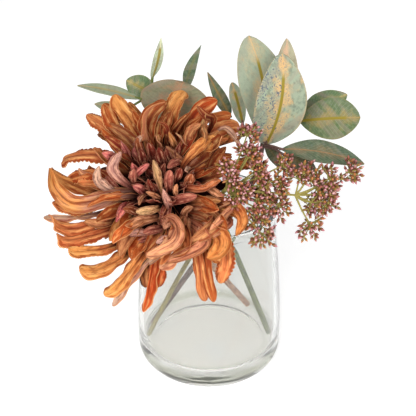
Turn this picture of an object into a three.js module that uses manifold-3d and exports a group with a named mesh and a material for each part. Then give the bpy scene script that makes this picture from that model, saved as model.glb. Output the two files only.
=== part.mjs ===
// Chrysanthemum bouquet in a clear glass jar.
// Millimetres, +Z up, origin at the centre of the jar's foot, the front of the bouquet towards -Y.
import * as THREE from "three";
import { mergeVertices } from "three/addons/utils/BufferGeometryUtils.js";
import Module from "manifold-3d";

// Driving dimensions of the jar
const JAR_HEIGHT = 112.5;
const JAR_BODY_RADIUS = 47.2;
const JAR_FOOT_RADIUS = 40;
const JAR_HEEL_HEIGHT = 10;
const JAR_NECK_RADIUS = 41;
const JAR_MOUTH_RADIUS = 38.2;
const JAR_FLOOR_HEIGHT = 12;
const JAR_WALL = 3.6;
const JAR_LIP_WIDTH = 2.1;
const JAR_LIP_RISE = 2.9;
const JAR_NECK_DROP = 6.5;
const JAR_THROAT_DROP = 8.5;
const JAR_FLOOR_CORNER = { width: 7, height: 8 };
const JAR_SIDES = 32;

// Where the curves of the jar's outline are pulled to: a step in or out from a radius, and either a
// height in millimetres or a share of the jar's height
const HEEL_PULL = { inwards: 0.8, height: 0.5 };
const BELLY_PULL = { outwards: 0.2, share: 0.4 };
const SHOULDER_PULL = { inwards: 3.7, share: 0.69 };
const INNER_SHOULDER_PULL = { outwards: 2.3, share: 0.71 };
const INNER_BELLY_SHARE = 0.43;

// Driving dimensions of the bloom, in a frame whose +Y is the axis of the flower head
const BLOOM_CENTRE = [-26, -12, 127];
const BLOOM_TILT = 56;
const BLOOM_TURN = 10;
const PETAL_THICKNESS = 0.8;
const LONG_PETAL_ROOT = { radius: 9.5, height: -4 };
const LONG_PETAL_STEPS = 6;
const SHORT_PETAL_STEPS = 3;
const FINE_STEPS = 12;
const CALYX_RADIUS = 10.5;
const CALYX_FOOT_RADIUS = 4;
const CALYX_BULGE = { radiusShare: 0.85, depthShare: 0.6 };
const CALYX_DEPTH = 6;
const CALYX_TOP = -2.6;
const CALYX_SIDES = 16;
const EYE_RADIUS = 8.6;
const EYE_HEIGHT = 9;
const SEAT_GAP = 0.3;
const PETAL_CUT_MARGIN = 0.05;
const SEAT_CUT_RADIUS = 40;
const SEAT_CUT_DEPTH = 20;
const GOLDEN_ANGLE = 137.508;

// Driving dimensions of stems, leaves and buds
const BLOOM_STEM_RADIUS = 2.3;
const STEM_SIDES = 8;
const STEM_STEPS = 12;
const TWIG_SIDES = 4;
const TWIG_STEPS = 3;
const LEAF_STEM_RADIUS = 1.9;
const FILLER_STEM_RADIUS = 1.6;
const LEAF_THICKNESS = 0.9;
const LEAF_FOLD = 0.12;
const LEAF_TIP_HALF = 0.5;
const LEAF_ROUNDNESS = 0.75;
const LEAF_STEPS = 5;
const PETIOLE_RADIUS = 0.9;
const STALK_SINK = 1.5;
const BUD_LENGTH = 4;
const BUD_WIDTH = 2;
const STALK_RADIUS = 0.45;
const BRANCH_RADIUS = 0.675;
const LINK_RADIUS = 0.9;
const LINK_SIDES = 5;
const BUD_SPACING = 0.8;
const UMBEL_OPENING = 1.35;
const UMBEL_TURN = 40;
const SHORTEST_STALK = 0.75;

const wasm = await Module();
wasm.setup();

const radians = THREE.MathUtils.degToRad;
const point = (x, y, z) => new THREE.Vector3(x, y, z);

// A repeatable random draw between 0 and 1
function scatter(k) {
  const value = Math.sin(k * 12.9898) * 43758.5453;
  return value - Math.floor(value);
}

function scatterBetween(k, low, high) {
  return low + (high - low) * scatter(k);
}

// A closed geometry as a solid that can be joined or cut
function solidOf(geometry) {
  const bare = geometry.clone();
  bare.deleteAttribute("normal");
  bare.deleteAttribute("uv");
  const merged = mergeVertices(bare, 1e-4);
  return new wasm.Manifold(new wasm.Mesh({
    numProp: 3,
    vertProperties: new Float32Array(merged.attributes.position.array),
    triVerts: new Uint32Array(merged.index.array),
  }));
}

function geometryOf(solid) {
  const mesh = solid.getMesh();
  const geometry = new THREE.BufferGeometry();
  geometry.setAttribute("position", new THREE.BufferAttribute(mesh.vertProperties, 3));
  geometry.setIndex(new THREE.BufferAttribute(mesh.triVerts, 1));
  geometry.computeVertexNormals();
  return geometry;
}

function fuse(solids) {
  return solids.reduce((whole, solid) => whole.add(solid));
}

// The largest body of a cut solid, without the loose scraps
function mainBody(solid) {
  const bodies = solid.decompose();
  bodies.sort((a, b) => b.volume() - a.volume());
  return bodies[0];
}

// A thin blade from rows of points: each row runs across the blade, and its normal gives the thickness.
// Both faces are split along the same diagonals.
function bladeSolid(rows, thickness) {
  const across = rows[0].points.length;
  const vertices = [];
  for (const row of rows) {
    for (const side of [0.5, -0.5]) {
      for (const p of row.points) {
        const moved = p.clone().addScaledVector(row.normal, side * thickness);
        vertices.push(moved.x, moved.y, moved.z);
      }
    }
  }
  const top = (i, j) => i * 2 * across + j;
  const bottom = (i, j) => i * 2 * across + across + j;
  const triangles = [];
  const quad = (a, b, c, d) => triangles.push(a, b, c, a, c, d);
  const last = across - 1;
  for (let i = 0; i < rows.length - 1; i += 1) {
    for (let j = 0; j < last; j += 1) {
      quad(top(i, j), top(i, j + 1), top(i + 1, j + 1), top(i + 1, j));
      triangles.push(bottom(i, j), bottom(i + 1, j + 1), bottom(i, j + 1));
      triangles.push(bottom(i, j), bottom(i + 1, j), bottom(i + 1, j + 1));
    }
    quad(top(i, 0), top(i + 1, 0), bottom(i + 1, 0), bottom(i, 0));
    quad(bottom(i, last), bottom(i + 1, last), top(i + 1, last), top(i, last));
  }
  const end = rows.length - 1;
  for (let j = 0; j < last; j += 1) {
    quad(top(0, j), bottom(0, j), bottom(0, j + 1), top(0, j + 1));
    quad(top(end, j + 1), bottom(end, j + 1), bottom(end, j), top(end, j));
  }
  return new wasm.Manifold(new wasm.Mesh({
    numProp: 3,
    vertProperties: new Float32Array(vertices),
    triVerts: new Uint32Array(triangles),
  }));
}

// A round rod along a smooth curve
function rodSolid(points, radius, sides, steps) {
  const outline = new THREE.Shape();
  for (let k = 0; k < sides; k += 1) {
    const angle = (2 * Math.PI * k) / sides;
    const corner = [radius * Math.cos(angle), radius * Math.sin(angle)];
    if (k === 0) {
      outline.moveTo(...corner);
    } else {
      outline.lineTo(...corner);
    }
  }
  outline.closePath();
  const extrudePath = new THREE.CatmullRomCurve3(points);
  return solidOf(new THREE.ExtrudeGeometry(outline, { steps, extrudePath, bevelEnabled: false }));
}

// Turns a geometry that stands on the origin along +Y onto the line from start to end
function along(geometry, start, end) {
  const direction = end.clone().sub(start).normalize();
  geometry.applyQuaternion(new THREE.Quaternion().setFromUnitVectors(point(0, 1, 0), direction));
  geometry.translate(start.x, start.y, start.z);
  return geometry;
}

function stalkSolid(start, end, radius, sides) {
  const length = start.distanceTo(end);
  const geometry = new THREE.CylinderGeometry(radius, radius, length, sides, 1);
  geometry.translate(0, length / 2, 0);
  return solidOf(along(geometry, start, end));
}

// The glass jar: one outline turned about the axis, up the outside, over the rolled lip and down inside
function jarGeometry() {
  const outside = new THREE.CubicBezierCurve(
    new THREE.Vector2(JAR_BODY_RADIUS, JAR_HEEL_HEIGHT),
    new THREE.Vector2(JAR_BODY_RADIUS + BELLY_PULL.outwards, JAR_HEIGHT * BELLY_PULL.share),
    new THREE.Vector2(JAR_BODY_RADIUS - SHOULDER_PULL.inwards, JAR_HEIGHT * SHOULDER_PULL.share),
    new THREE.Vector2(JAR_NECK_RADIUS, JAR_HEIGHT - JAR_NECK_DROP),
  );
  const heel = new THREE.QuadraticBezierCurve(
    new THREE.Vector2(JAR_FOOT_RADIUS, 0),
    new THREE.Vector2(JAR_BODY_RADIUS - HEEL_PULL.inwards, HEEL_PULL.height),
    new THREE.Vector2(JAR_BODY_RADIUS, JAR_HEEL_HEIGHT),
  );
  const lip = new THREE.EllipseCurve(
    JAR_MOUTH_RADIUS + JAR_LIP_WIDTH, JAR_HEIGHT - JAR_LIP_RISE,
    JAR_LIP_WIDTH, JAR_LIP_RISE,
    -Math.PI / 3, Math.PI, false,
  );
  const innerRadius = JAR_BODY_RADIUS - JAR_WALL;
  const inside = new THREE.CubicBezierCurve(
    new THREE.Vector2(JAR_MOUTH_RADIUS, JAR_HEIGHT - JAR_THROAT_DROP),
    new THREE.Vector2(
      JAR_MOUTH_RADIUS + INNER_SHOULDER_PULL.outwards,
      JAR_HEIGHT * INNER_SHOULDER_PULL.share,
    ),
    new THREE.Vector2(innerRadius, JAR_HEIGHT * INNER_BELLY_SHARE),
    new THREE.Vector2(innerRadius, JAR_FLOOR_HEIGHT + JAR_FLOOR_CORNER.height),
  );
  const floorCorner = new THREE.QuadraticBezierCurve(
    new THREE.Vector2(innerRadius, JAR_FLOOR_HEIGHT + JAR_FLOOR_CORNER.height),
    new THREE.Vector2(innerRadius, JAR_FLOOR_HEIGHT),
    new THREE.Vector2(innerRadius - JAR_FLOOR_CORNER.width, JAR_FLOOR_HEIGHT),
  );
  const outline = [
    new THREE.Vector2(0, 0),
    ...heel.getPoints(3),
    ...outside.getPoints(4).slice(1),
    ...lip.getPoints(6),
    ...inside.getPoints(3),
    ...floorCorner.getPoints(3).slice(1),
    new THREE.Vector2(0, JAR_FLOOR_HEIGHT),
  ];
  const geometry = new THREE.LatheGeometry(outline, JAR_SIDES);
  geometry.rotateX(Math.PI / 2);
  return geometry;
}

// The middle line of a petal: distance from the root across the flower and height along its axis.
// The slope in degrees is rise + bow * s + curl * s^3 at the share s of the length.
function petalLine(petal, steps) {
  const fine = FINE_STEPS * steps;
  const slope = (s) => radians(petal.rise + petal.bow * s + petal.curl * s ** 3);
  const line = [{ s: 0, x: 0, y: 0, slope: slope(0) }];
  let x = 0;
  let y = 0;
  for (let k = 1; k <= fine; k += 1) {
    const middle = slope((k - 0.5) / fine);
    x += (Math.cos(middle) * petal.length) / fine;
    y += (Math.sin(middle) * petal.length) / fine;
    if (k % FINE_STEPS === 0) {
      line.push({ s: k / fine, x, y, slope: slope(k / fine) });
    }
  }
  return line;
}

// Outlines of the petals, as shares of their length and of their full width
const LONG_OUTLINE = { rootWidth: 0.28, fullFrom: 0.6, swell: 1.1, tipFrom: 0.85, tipLeast: 0.08 };
const LANCE_OUTLINE = { start: 0.12, span: 0.86, skew: 0.9, fullness: 0.8, least: 0.1 };

// Share of the full width: a long petal widens to a rounded tip
function longWidth(s) {
  const { rootWidth, fullFrom, swell, tipFrom, tipLeast } = LONG_OUTLINE;
  const body = rootWidth + (1 - rootWidth) * Math.min(1, s / fullFrom) ** swell;
  const intoTip = Math.max(0, s - tipFrom) / (1 - tipFrom);
  return body * Math.sqrt(Math.max(tipLeast, 1 - intoTip ** 2));
}

// Share of the full width: a short petal is shaped like a lance
function lanceWidth(s) {
  const { start, span, skew, fullness, least } = LANCE_OUTLINE;
  return Math.max(least, Math.sin(Math.PI * (start + span * s) ** skew) ** fullness);
}

// A petal without a sweep gets this much, in degrees, so that its bend has a radius
const LEAST_SWEEP = 0.01;

// One petal, placed by its azimuth about the axis of the head. extra widens and thickens it,
// to cut clearance for it in the petals beside it.
function petalSolid(petal, extra = 0) {
  const line = petalLine({ ...petal, length: petal.length + extra }, petal.steps);
  const distances = line.map((station) => station.x);
  const reach = Math.max(...distances) - Math.min(...distances);
  const bend = radians(petal.sweep || LEAST_SWEEP) / Math.max(reach, 1);
  const rows = line.map((station) => {
    const half = (petal.outline(station.s) * petal.width) / 2 + extra;
    const turn = radians(petal.twist || 0) * station.s;
    const across = (side, lift) => {
      const z = side * Math.cos(turn) - lift * Math.sin(turn);
      const n = side * Math.sin(turn) + lift * Math.cos(turn);
      const x = station.x - n * Math.sin(station.slope);
      const y = station.y + n * Math.cos(station.slope);
      const swept = (1 / bend - z) * Math.cos(bend * x);
      return point(Math.sin(bend * x) * (1 / bend - z), y, -(1 / bend - swept));
    };
    const points = [across(half, 0), across(-half, 0)];
    const normal = across(0, 1).sub(across(0, 0)).normalize();
    return { points, normal };
  });
  const solid = bladeSolid(rows, PETAL_THICKNESS + 2 * extra);
  return solid.translate([petal.root.radius, petal.root.height, 0]).rotate([0, petal.azimuth, 0]);
}

// The long petals, one by one as they lie round the head, from the right over the top to the left
// and back below. Angles in degrees, lengths and widths in millimetres.
const LONG_PETALS = [
  {
    name: "right, behind the buds",
    azimuth: 17, length: 60, width: 9.5, rise: 3, bow: -15, curl: -44, sweep: -16,
  },
  {
    name: "right, low behind leaf",
    azimuth: 29, length: 50, width: 9, rise: 10, bow: -15, curl: -34, sweep: 12,
  },
  {
    name: "right, hooked down",
    azimuth: 50, length: 58, width: 9, rise: 42, bow: -50, curl: -70, sweep: 8,
  },
  {
    name: "right, leaf shaped",
    azimuth: 55, length: 44, width: 9.5, rise: 60, bow: -18, curl: -23, sweep: -33,
  },
  {
    name: "upper right, arch",
    azimuth: 69, length: 70, width: 10, rise: 50, bow: -57, curl: -90, sweep: -44,
  },
  {
    name: "upper right, behind",
    azimuth: 75, length: 61, width: 9, rise: 46, bow: -40, curl: -46, sweep: -42,
  },
  {
    name: "top right, red",
    azimuth: 80, length: 63, width: 9.5, rise: 61, bow: -30, curl: -35, sweep: -48, twist: 10,
  },
  {
    name: "top, broad golden",
    azimuth: 98, length: 64, width: 11.5, rise: 64, bow: -52, curl: -50, sweep: -28,
  },
  {
    name: "top, upright grooved",
    azimuth: 123, length: 61, width: 8.5, rise: 79, bow: -53, curl: -58, sweep: -71, twist: 20,
  },
  {
    name: "top, hooked over",
    azimuth: 117, length: 66, width: 9, rise: 74, bow: -66, curl: -70, sweep: 30, twist: 10,
  },
  {
    name: "top left, broad",
    azimuth: 126, length: 64, width: 10, rise: 50, bow: -8, curl: 25, sweep: 8,
  },
  {
    name: "top left, behind",
    azimuth: 140, length: 60, width: 9, rise: 44, bow: -10, curl: 14, sweep: -9, twist: 10,
  },
  {
    name: "upper left, straight",
    azimuth: 143, length: 63, width: 9, rise: 37, bow: -26, curl: -21,
  },
  {
    name: "left, arch with serrated top",
    azimuth: 158, length: 75, width: 9, rise: 53, bow: -57, curl: -82, sweep: 28,
  },
  {
    name: "left, low arch",
    azimuth: 167, length: 68, width: 8.5, rise: 42, bow: -53, curl: -92, sweep: 24,
  },
  {
    name: "left, dips and tips up",
    azimuth: 190, length: 68, width: 10, rise: 4, bow: -14, curl: 100, sweep: -20,
  },
  {
    name: "left, small below",
    azimuth: 197, length: 64, width: 7, rise: 12, bow: -7, curl: 67, sweep: 10,
  },
  {
    name: "left, thin pale",
    azimuth: 208, length: 66, width: 6, rise: 11, bow: -9, curl: 8, sweep: -17, twist: 30,
  },
  {
    name: "lower left, rising tip",
    azimuth: 213, length: 77, width: 9, rise: 9, bow: -2, curl: 105,
  },
  {
    name: "lower left, behind",
    azimuth: 231, length: 72, width: 8, rise: 12, bow: -16, curl: 92, sweep: -24,
  },
  {
    name: "lower left, crescent",
    azimuth: 245, length: 68, width: 10, rise: 6, bow: -22, curl: 95, sweep: -44,
  },
  {
    name: "lower left, big crescent",
    azimuth: 263, length: 71, width: 10.5, rise: 10, bow: -35, curl: 92, sweep: -60,
  },
  {
    name: "below, long",
    azimuth: 270, length: 70, width: 9, rise: 16, bow: -28, curl: 41, sweep: -39,
  },
  {
    name: "below, pink point",
    azimuth: 272, length: 70, width: 6.5, rise: 17, bow: -39, curl: -13, sweep: -44, twist: 20,
  },
  {
    name: "below, spoon",
    azimuth: 260, length: 52, width: 8, rise: 22, bow: -54, curl: -15, sweep: 13,
  },
  {
    name: "below, second spoon",
    azimuth: 273, length: 53, width: 8, rise: 31, bow: -66, curl: -21,
  },
  {
    name: "below, twisted point",
    azimuth: 277, length: 69, width: 6, rise: 26, bow: -52, curl: 18, sweep: -17, twist: 30,
  },
  {
    name: "front, hooks left",
    azimuth: 313, length: 60, width: 7.5, rise: 52, bow: -35, curl: -35, sweep: -100,
  },
  {
    name: "front, sickle",
    azimuth: 324, length: 58, width: 9, rise: 40, bow: -48, curl: -25, sweep: -115,
  },
  {
    name: "front, hangs straight",
    azimuth: 307, length: 70, width: 7, rise: 38, bow: -74, curl: -24, sweep: -23, twist: 10,
  },
  {
    name: "front, hangs right",
    azimuth: 313, length: 70, width: 7, rise: 29, bow: -56, curl: 8, sweep: -29, twist: 10,
  },
  {
    name: "lower right, broad bright",
    azimuth: 316, length: 56, width: 12, rise: 48, bow: -75, curl: -45,
  },
  {
    name: "lower right, pale strip",
    azimuth: 342, length: 60, width: 4.5, rise: 32, bow: -70, curl: -10, sweep: -75,
  },
  {
    name: "lower right, serrated hook",
    azimuth: 351, length: 70, width: 9.5, rise: 28, bow: -62, curl: -5, sweep: -100,
  },
  {
    name: "right, tip down",
    azimuth: 349, length: 50, width: 8.5, rise: 36, bow: -44, curl: -60, sweep: -10,
  },
];

// Shorter rust petals between the long ones and the middle, round the head by the golden angle.
// They are short where the filler stands beside the bloom, within the gap to both sides of azimuth 0.
const MIDDLE_PETAL_COUNT = 23;
const FILLER_GAP = 18;
const MIDDLE_PETALS = {
  root: { radius: 9.5, height: -3.6 },
  firstAzimuth: 40,
  besideFillerLength: 22,
  length: [32, 40],
  growth: 6,
  width: [7, 8.6],
  rise: [38, 50],
  flattening: 20,
  bow: [-35, 5],
  curl: [-25, 45],
  sweep: [-25, 25],
  twist: [-25, 25],
};

function middlePetal(k) {
  const share = k / (MIDDLE_PETAL_COUNT - 1);
  const azimuth = (MIDDLE_PETALS.firstAzimuth + k * GOLDEN_ANGLE) % 360;
  const besideFiller = azimuth < FILLER_GAP || azimuth > 360 - FILLER_GAP;
  const fullLength = scatterBetween(k + 0.1, ...MIDDLE_PETALS.length) + MIDDLE_PETALS.growth * share;
  return {
    outline: lanceWidth,
    steps: SHORT_PETAL_STEPS,
    root: MIDDLE_PETALS.root,
    azimuth,
    length: besideFiller ? MIDDLE_PETALS.besideFillerLength : fullLength,
    width: scatterBetween(k + 0.2, ...MIDDLE_PETALS.width),
    rise: scatterBetween(k + 0.3, ...MIDDLE_PETALS.rise) - MIDDLE_PETALS.flattening * share,
    bow: scatterBetween(k + 0.4, ...MIDDLE_PETALS.bow),
    curl: scatterBetween(k + 0.5, ...MIDDLE_PETALS.curl),
    sweep: scatterBetween(k + 0.6, ...MIDDLE_PETALS.sweep),
    twist: scatterBetween(k + 0.7, ...MIDDLE_PETALS.twist),
  };
}

// Short dark florets of the middle. Outwards from the eye they grow longer and wider and lean more.
const FLORET_COUNT = 37;
const FLORETS = {
  rootRadiusShare: 0.82,
  rootHeightShare: 0.7,
  rootLift: 1.2,
  length: 14,
  lengthGrowth: 17,
  lengthDraw: [-3, 3],
  width: 4.6,
  widthGrowth: 2.2,
  rise: 90,
  lean: 46,
  riseDraw: [-6, 6],
  bow: [-18, 22],
  curl: [-20, 30],
  sweep: [-25, 25],
  twist: [-30, 30],
};

function floret(k) {
  const share = Math.sqrt((k + 0.5) / FLORET_COUNT);
  const domeHeight = EYE_HEIGHT * (1 - share ** 2) * FLORETS.rootHeightShare;
  return {
    outline: lanceWidth,
    steps: SHORT_PETAL_STEPS,
    root: {
      radius: EYE_RADIUS * FLORETS.rootRadiusShare * share,
      height: domeHeight + CALYX_TOP + FLORETS.rootLift,
    },
    azimuth: (k * GOLDEN_ANGLE) % 360,
    length: FLORETS.length + FLORETS.lengthGrowth * share + scatterBetween(k + 0.15, ...FLORETS.lengthDraw),
    width: FLORETS.width + FLORETS.widthGrowth * share,
    rise: FLORETS.rise - FLORETS.lean * share + scatterBetween(k + 0.25, ...FLORETS.riseDraw),
    bow: scatterBetween(k + 0.35, ...FLORETS.bow),
    curl: scatterBetween(k + 0.45, ...FLORETS.curl),
    sweep: scatterBetween(k + 0.55, ...FLORETS.sweep),
    twist: scatterBetween(k + 0.65, ...FLORETS.twist),
  };
}

// The calyx: a low cup with a flat foot for the stem, under all petals
function calyxSolid() {
  const outline = [
    new THREE.Vector2(0, CALYX_TOP - CALYX_DEPTH),
    new THREE.Vector2(CALYX_FOOT_RADIUS, CALYX_TOP - CALYX_DEPTH),
    new THREE.Vector2(
      CALYX_RADIUS * CALYX_BULGE.radiusShare,
      CALYX_TOP - CALYX_DEPTH * CALYX_BULGE.depthShare,
    ),
    new THREE.Vector2(CALYX_RADIUS, CALYX_TOP),
    new THREE.Vector2(0, CALYX_TOP),
  ];
  return solidOf(new THREE.LatheGeometry(outline, CALYX_SIDES));
}

// The eye: a low dome that carries the florets, seated on the calyx
function eyeSolid() {
  const floor = CALYX_TOP + SEAT_GAP;
  const dome = new THREE.EllipseCurve(0, floor, EYE_RADIUS, EYE_HEIGHT, 0, Math.PI / 2, false);
  const outline = [new THREE.Vector2(0, floor), ...dome.getPoints(4)];
  outline[outline.length - 1].x = 0;
  return solidOf(new THREE.LatheGeometry(outline, CALYX_SIDES));
}

const outerPetals = [
  ...LONG_PETALS.map((petal) => ({
    ...petal,
    outline: longWidth,
    steps: LONG_PETAL_STEPS,
    root: LONG_PETAL_ROOT,
  })),
  ...Array.from({ length: MIDDLE_PETAL_COUNT }, (_, k) => middlePetal(k)),
];

function outerPetalsSolid() {
  return mainBody(fuse([calyxSolid(), ...outerPetals.map((petal) => petalSolid(petal))]));
}

// The florets and their dome, cut clear of the calyx and of every outer petal
function eyeFloretsSolid() {
  const florets = Array.from({ length: FLORET_COUNT }, (_, k) => petalSolid(floret(k)));
  const clearance = outerPetals.map((petal) => petalSolid(petal, SEAT_GAP + PETAL_CUT_MARGIN));
  const seat = new THREE.CylinderGeometry(SEAT_CUT_RADIUS, SEAT_CUT_RADIUS, SEAT_CUT_DEPTH, CALYX_SIDES);
  seat.translate(0, CALYX_TOP + SEAT_GAP - SEAT_CUT_DEPTH / 2, 0);
  return mainBody(fuse([eyeSolid(), ...florets]).subtract(fuse([solidOf(seat), ...clearance])));
}

// A leaf from base to tip: chord, width, the way its face looks, bow of the midrib out of the leaf and
// sway of it sideways, twist, and the place of the widest stretch
function leafSolid(leaf) {
  const base = point(...leaf.base);
  const tip = point(...leaf.tip);
  const chord = tip.clone().sub(base);
  const lengthways = chord.clone().normalize();
  const facing = point(...leaf.face);
  facing.addScaledVector(lengthways, -facing.dot(lengthways)).normalize();
  const sideways = facing.clone().cross(lengthways);
  const rows = [];
  for (let i = 0; i <= LEAF_STEPS; i += 1) {
    const s = i / LEAF_STEPS;
    const fullness = Math.sin(Math.PI * s ** leaf.widest) ** LEAF_ROUNDNESS;
    const half = Math.max(LEAF_TIP_HALF, (fullness * leaf.width) / 2);
    const arch = 4 * s * (1 - s);
    const middle = base.clone().addScaledVector(chord, s).addScaledVector(facing, leaf.bow * arch);
    middle.addScaledVector(sideways, -(leaf.sway || 0) * arch);
    const turn = radians(leaf.twist || 0) * (s - 0.5);
    const side = sideways.clone().applyAxisAngle(lengthways, turn);
    const normal = facing.clone().applyAxisAngle(lengthways, turn);
    const points = [-1, 0, 1].map((share) => middle.clone()
      .addScaledVector(side, share * half)
      .addScaledVector(normal, share === 0 ? -LEAF_FOLD * half : 0));
    rows.push({ points, normal });
  }
  return bladeSolid(rows.reverse(), LEAF_THICKNESS);
}

// The short stalk that carries a leaf, sunk a little way into its midrib
function leafStalkSolid(leaf) {
  const base = point(...leaf.base);
  const lengthways = point(...leaf.tip).sub(base).normalize();
  const start = base.clone().addScaledVector(lengthways, -STALK_SINK);
  const end = base.clone().addScaledVector(lengthways, 2 * STALK_SINK);
  return stalkSolid(start, end, PETIOLE_RADIUS, TWIG_SIDES);
}

// A leafy spray: its main stem, side twigs and leaves fused in one solid
function spraySolid(spray) {
  const stem = rodSolid(spray.stem.map((p) => point(...p)), LEAF_STEM_RADIUS, STEM_SIDES, STEM_STEPS);
  const twigLines = spray.twigs.map((twig) => twig.map((p) => point(...p)));
  const twigs = twigLines.map((line) => rodSolid(line, PETIOLE_RADIUS, TWIG_SIDES, TWIG_STEPS));
  const leaves = spray.leaves.flatMap((leaf) => [leafSolid(leaf), leafStalkSolid(leaf)]);
  return mainBody(fuse([stem, ...twigs, ...leaves]));
}

const LEFT_SPRAY = {
  stem: [[40, -5, 15], [18, 13, 65], [-4, 31, 112], [-13, 31, 140], [-16, 34, 152]],
  twigs: [
    [[-16, 34, 150], [-24, 36, 160], [-33, 36, 170]],
    [[-33, 36, 170], [-38, 34, 171], [-43, 31, 169]],
    [[-33, 36, 169], [-35, 37, 175], [-35, 37, 180]],
    [[-16, 34, 151], [-17, 37, 163], [-15, 38, 172]],
    [[-4, 31, 112], [4, 32, 138], [13, 32, 157]],
    [[-33, 36, 170], [-44, 34, 165], [-53, 33, 159]],
  ],
  leaves: [
    {
      name: "big round leaf",
      base: [-15, 33.5, 150], tip: [-28, 32, 184],
      width: 40, face: [-0.2, -0.75, 0.62], bow: 2, widest: 1.3,
    },
    {
      name: "striped round leaf",
      base: [-33, 36, 169], tip: [-51, 36, 179],
      width: 15, face: [-0.2, -0.8, 0.55], bow: 1, widest: 1.1,
    },
    {
      name: "pale side leaf",
      base: [-43, 31, 169], tip: [-81, 33, 177],
      width: 9, face: [-0.1, -0.3, 0.95], bow: 2, widest: 0.9,
    },
    {
      name: "upright twisted leaf",
      base: [-35, 37, 180], tip: [-29, 37, 206],
      width: 9, face: [0.75, -0.65, 0.1], bow: 2, widest: 0.9, twist: 50,
    },
    {
      name: "upright pointed leaf",
      base: [-15, 38, 172], tip: [-5, 38, 201],
      width: 12, face: [-0.7, -0.7, 0.1], bow: 3, widest: 0.8, twist: -40,
    },
    {
      name: "narrow dark leaf",
      base: [13, 32, 157], tip: [-1, 34, 185],
      width: 11, face: [-0.3, -0.9, 0.3], bow: 1, widest: 0.8,
    },
    {
      name: "small low leaf",
      base: [-53, 33, 159], tip: [-71, 32, 165],
      width: 8, face: [0, -0.5, 0.85], bow: 1, widest: 0.9,
    },
  ],
};

const RIGHT_SPRAY = {
  stem: [[-39, 6.1, 14.1], [-6, 12, 64], [25, 18, 112], [31, 17, 130], [33, 15, 146]],
  twigs: [
    [[33, 15, 145], [45, 24, 150], [56, 27, 157]],
    [[33, 15, 145], [38, 10, 147], [44, 6, 147]],
    [[33, 15, 145], [40, 22, 152], [44, 25, 162]],
    [[31, 17, 132], [26, 24, 144], [21, 28, 153]],
    [[33, 15, 144], [40, 12, 144], [45, 9, 142]],
  ],
  leaves: [
    {
      name: "tall left leaf",
      base: [32, 16, 146], tip: [21.5, 16, 216],
      width: 27, face: [-0.25, -0.85, 0.45], bow: 3, sway: 4, widest: 1.15,
    },
    {
      name: "speckled front leaf",
      base: [33, 14, 146], tip: [42.5, 5, 210],
      width: 31, face: [0.1, -0.9, 0.4], bow: 4, sway: 3, widest: 0.85,
    },
    {
      name: "tall back leaf",
      base: [44, 25, 162], tip: [46, 24, 210],
      width: 17, face: [0.35, -0.85, 0.4], bow: 2, widest: 0.9,
    },
    {
      name: "folded side leaf",
      base: [56, 27, 157], tip: [86, 26, 176],
      width: 15, face: [-0.2, -0.7, 0.7], bow: 3, widest: 0.95,
    },
    {
      name: "broad side leaf",
      base: [56, 26, 156], tip: [92, 17, 163],
      width: 26, face: [0.1, -0.75, 0.65], bow: 3, widest: 1.2,
    },
    {
      name: "drooping side leaf",
      base: [44, 6, 147], tip: [97, 2, 135],
      width: 17, face: [0, -0.4, 0.92], bow: 5, widest: 1.0, twist: 15,
    },
    {
      name: "narrow left leaf",
      base: [21, 28, 153], tip: [15, 28, 178],
      width: 9, face: [0.4, -0.85, 0.3], bow: 1, widest: 1.0,
    },
    {
      name: "dark hanging leaf",
      base: [34, 14, 147], tip: [46, 10, 130],
      width: 8, face: [-0.4, -0.8, 0.3], bow: -1, widest: 1.0,
    },
    {
      name: "brown shaded leaf",
      base: [45, 9, 142], tip: [67, 8, 129],
      width: 12, face: [0, -0.6, 0.8], bow: 2, widest: 1.0,
    },
  ],
};

// The filler: one stem to a fork in front of the petals, thin branches to each cluster of buds
const FILLER_STEM = [[-40, -6, 15], [-19, -8, 63], [3, -10, 110], [6, -19, 128], [10, -25, 137]];
const FILLER_FORK = [10, -25, 137];
const FILLER_SECOND_FORK = [51, -22, 131];
const FILLER_CLUSTERS = [
  { at: [24, -8, 169], from: FILLER_FORK, radius: 8, buds: 5 },
  { at: [26, -17, 159], from: FILLER_FORK, radius: 8, buds: 6 },
  { at: [31, -22, 148], from: FILLER_FORK, radius: 7, buds: 5 },
  { at: [14, -30, 148], from: FILLER_FORK, radius: 4, buds: 4 },
  { at: [24, -29, 136], from: FILLER_FORK, radius: 5, buds: 4 },
  { at: [35, -28, 127], from: FILLER_FORK, radius: 8, buds: 6 },
  { at: [31, -35, 119], from: FILLER_FORK, radius: 7, buds: 5 },
  { at: [34, -44, 113], from: FILLER_FORK, radius: 8, buds: 5 },
  { at: [45, -26, 125], from: FILLER_FORK, radius: 7, buds: 5 },
  { at: [47, -15, 149], from: FILLER_FORK, radius: 6, buds: 5 },
  { at: [44, -20, 138], from: FILLER_FORK, radius: 6, buds: 5 },
  { at: [61, -16, 144], from: FILLER_SECOND_FORK, radius: 7, buds: 5 },
  { at: [75, -16, 141], from: FILLER_SECOND_FORK, radius: 7, buds: 5 },
  { at: [87, -12, 143], from: FILLER_SECOND_FORK, radius: 6, buds: 5 },
  { at: [75, -15, 131], from: FILLER_SECOND_FORK, radius: 7, buds: 5 },
  { at: [64, -20, 123], from: FILLER_SECOND_FORK, radius: 6, buds: 5 },
  { at: [72, -20, 122], from: FILLER_SECOND_FORK, radius: 6, buds: 5 },
  { at: [62, -32, 112], from: FILLER_SECOND_FORK, radius: 8, buds: 5 },
];

// One bud on its stalk: a slim three-sided spindle that swells to the bud and closes to its point
function budSolid(start, outward, reach) {
  const outline = [
    new THREE.Vector2(0, 0),
    new THREE.Vector2(STALK_RADIUS, 0),
    new THREE.Vector2(STALK_RADIUS, reach - BUD_LENGTH / 2),
    new THREE.Vector2(BUD_WIDTH / 2, reach),
    new THREE.Vector2(0, reach + BUD_LENGTH / 2),
  ];
  return solidOf(along(new THREE.LatheGeometry(outline, 3), start, start.clone().add(outward)));
}

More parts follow.
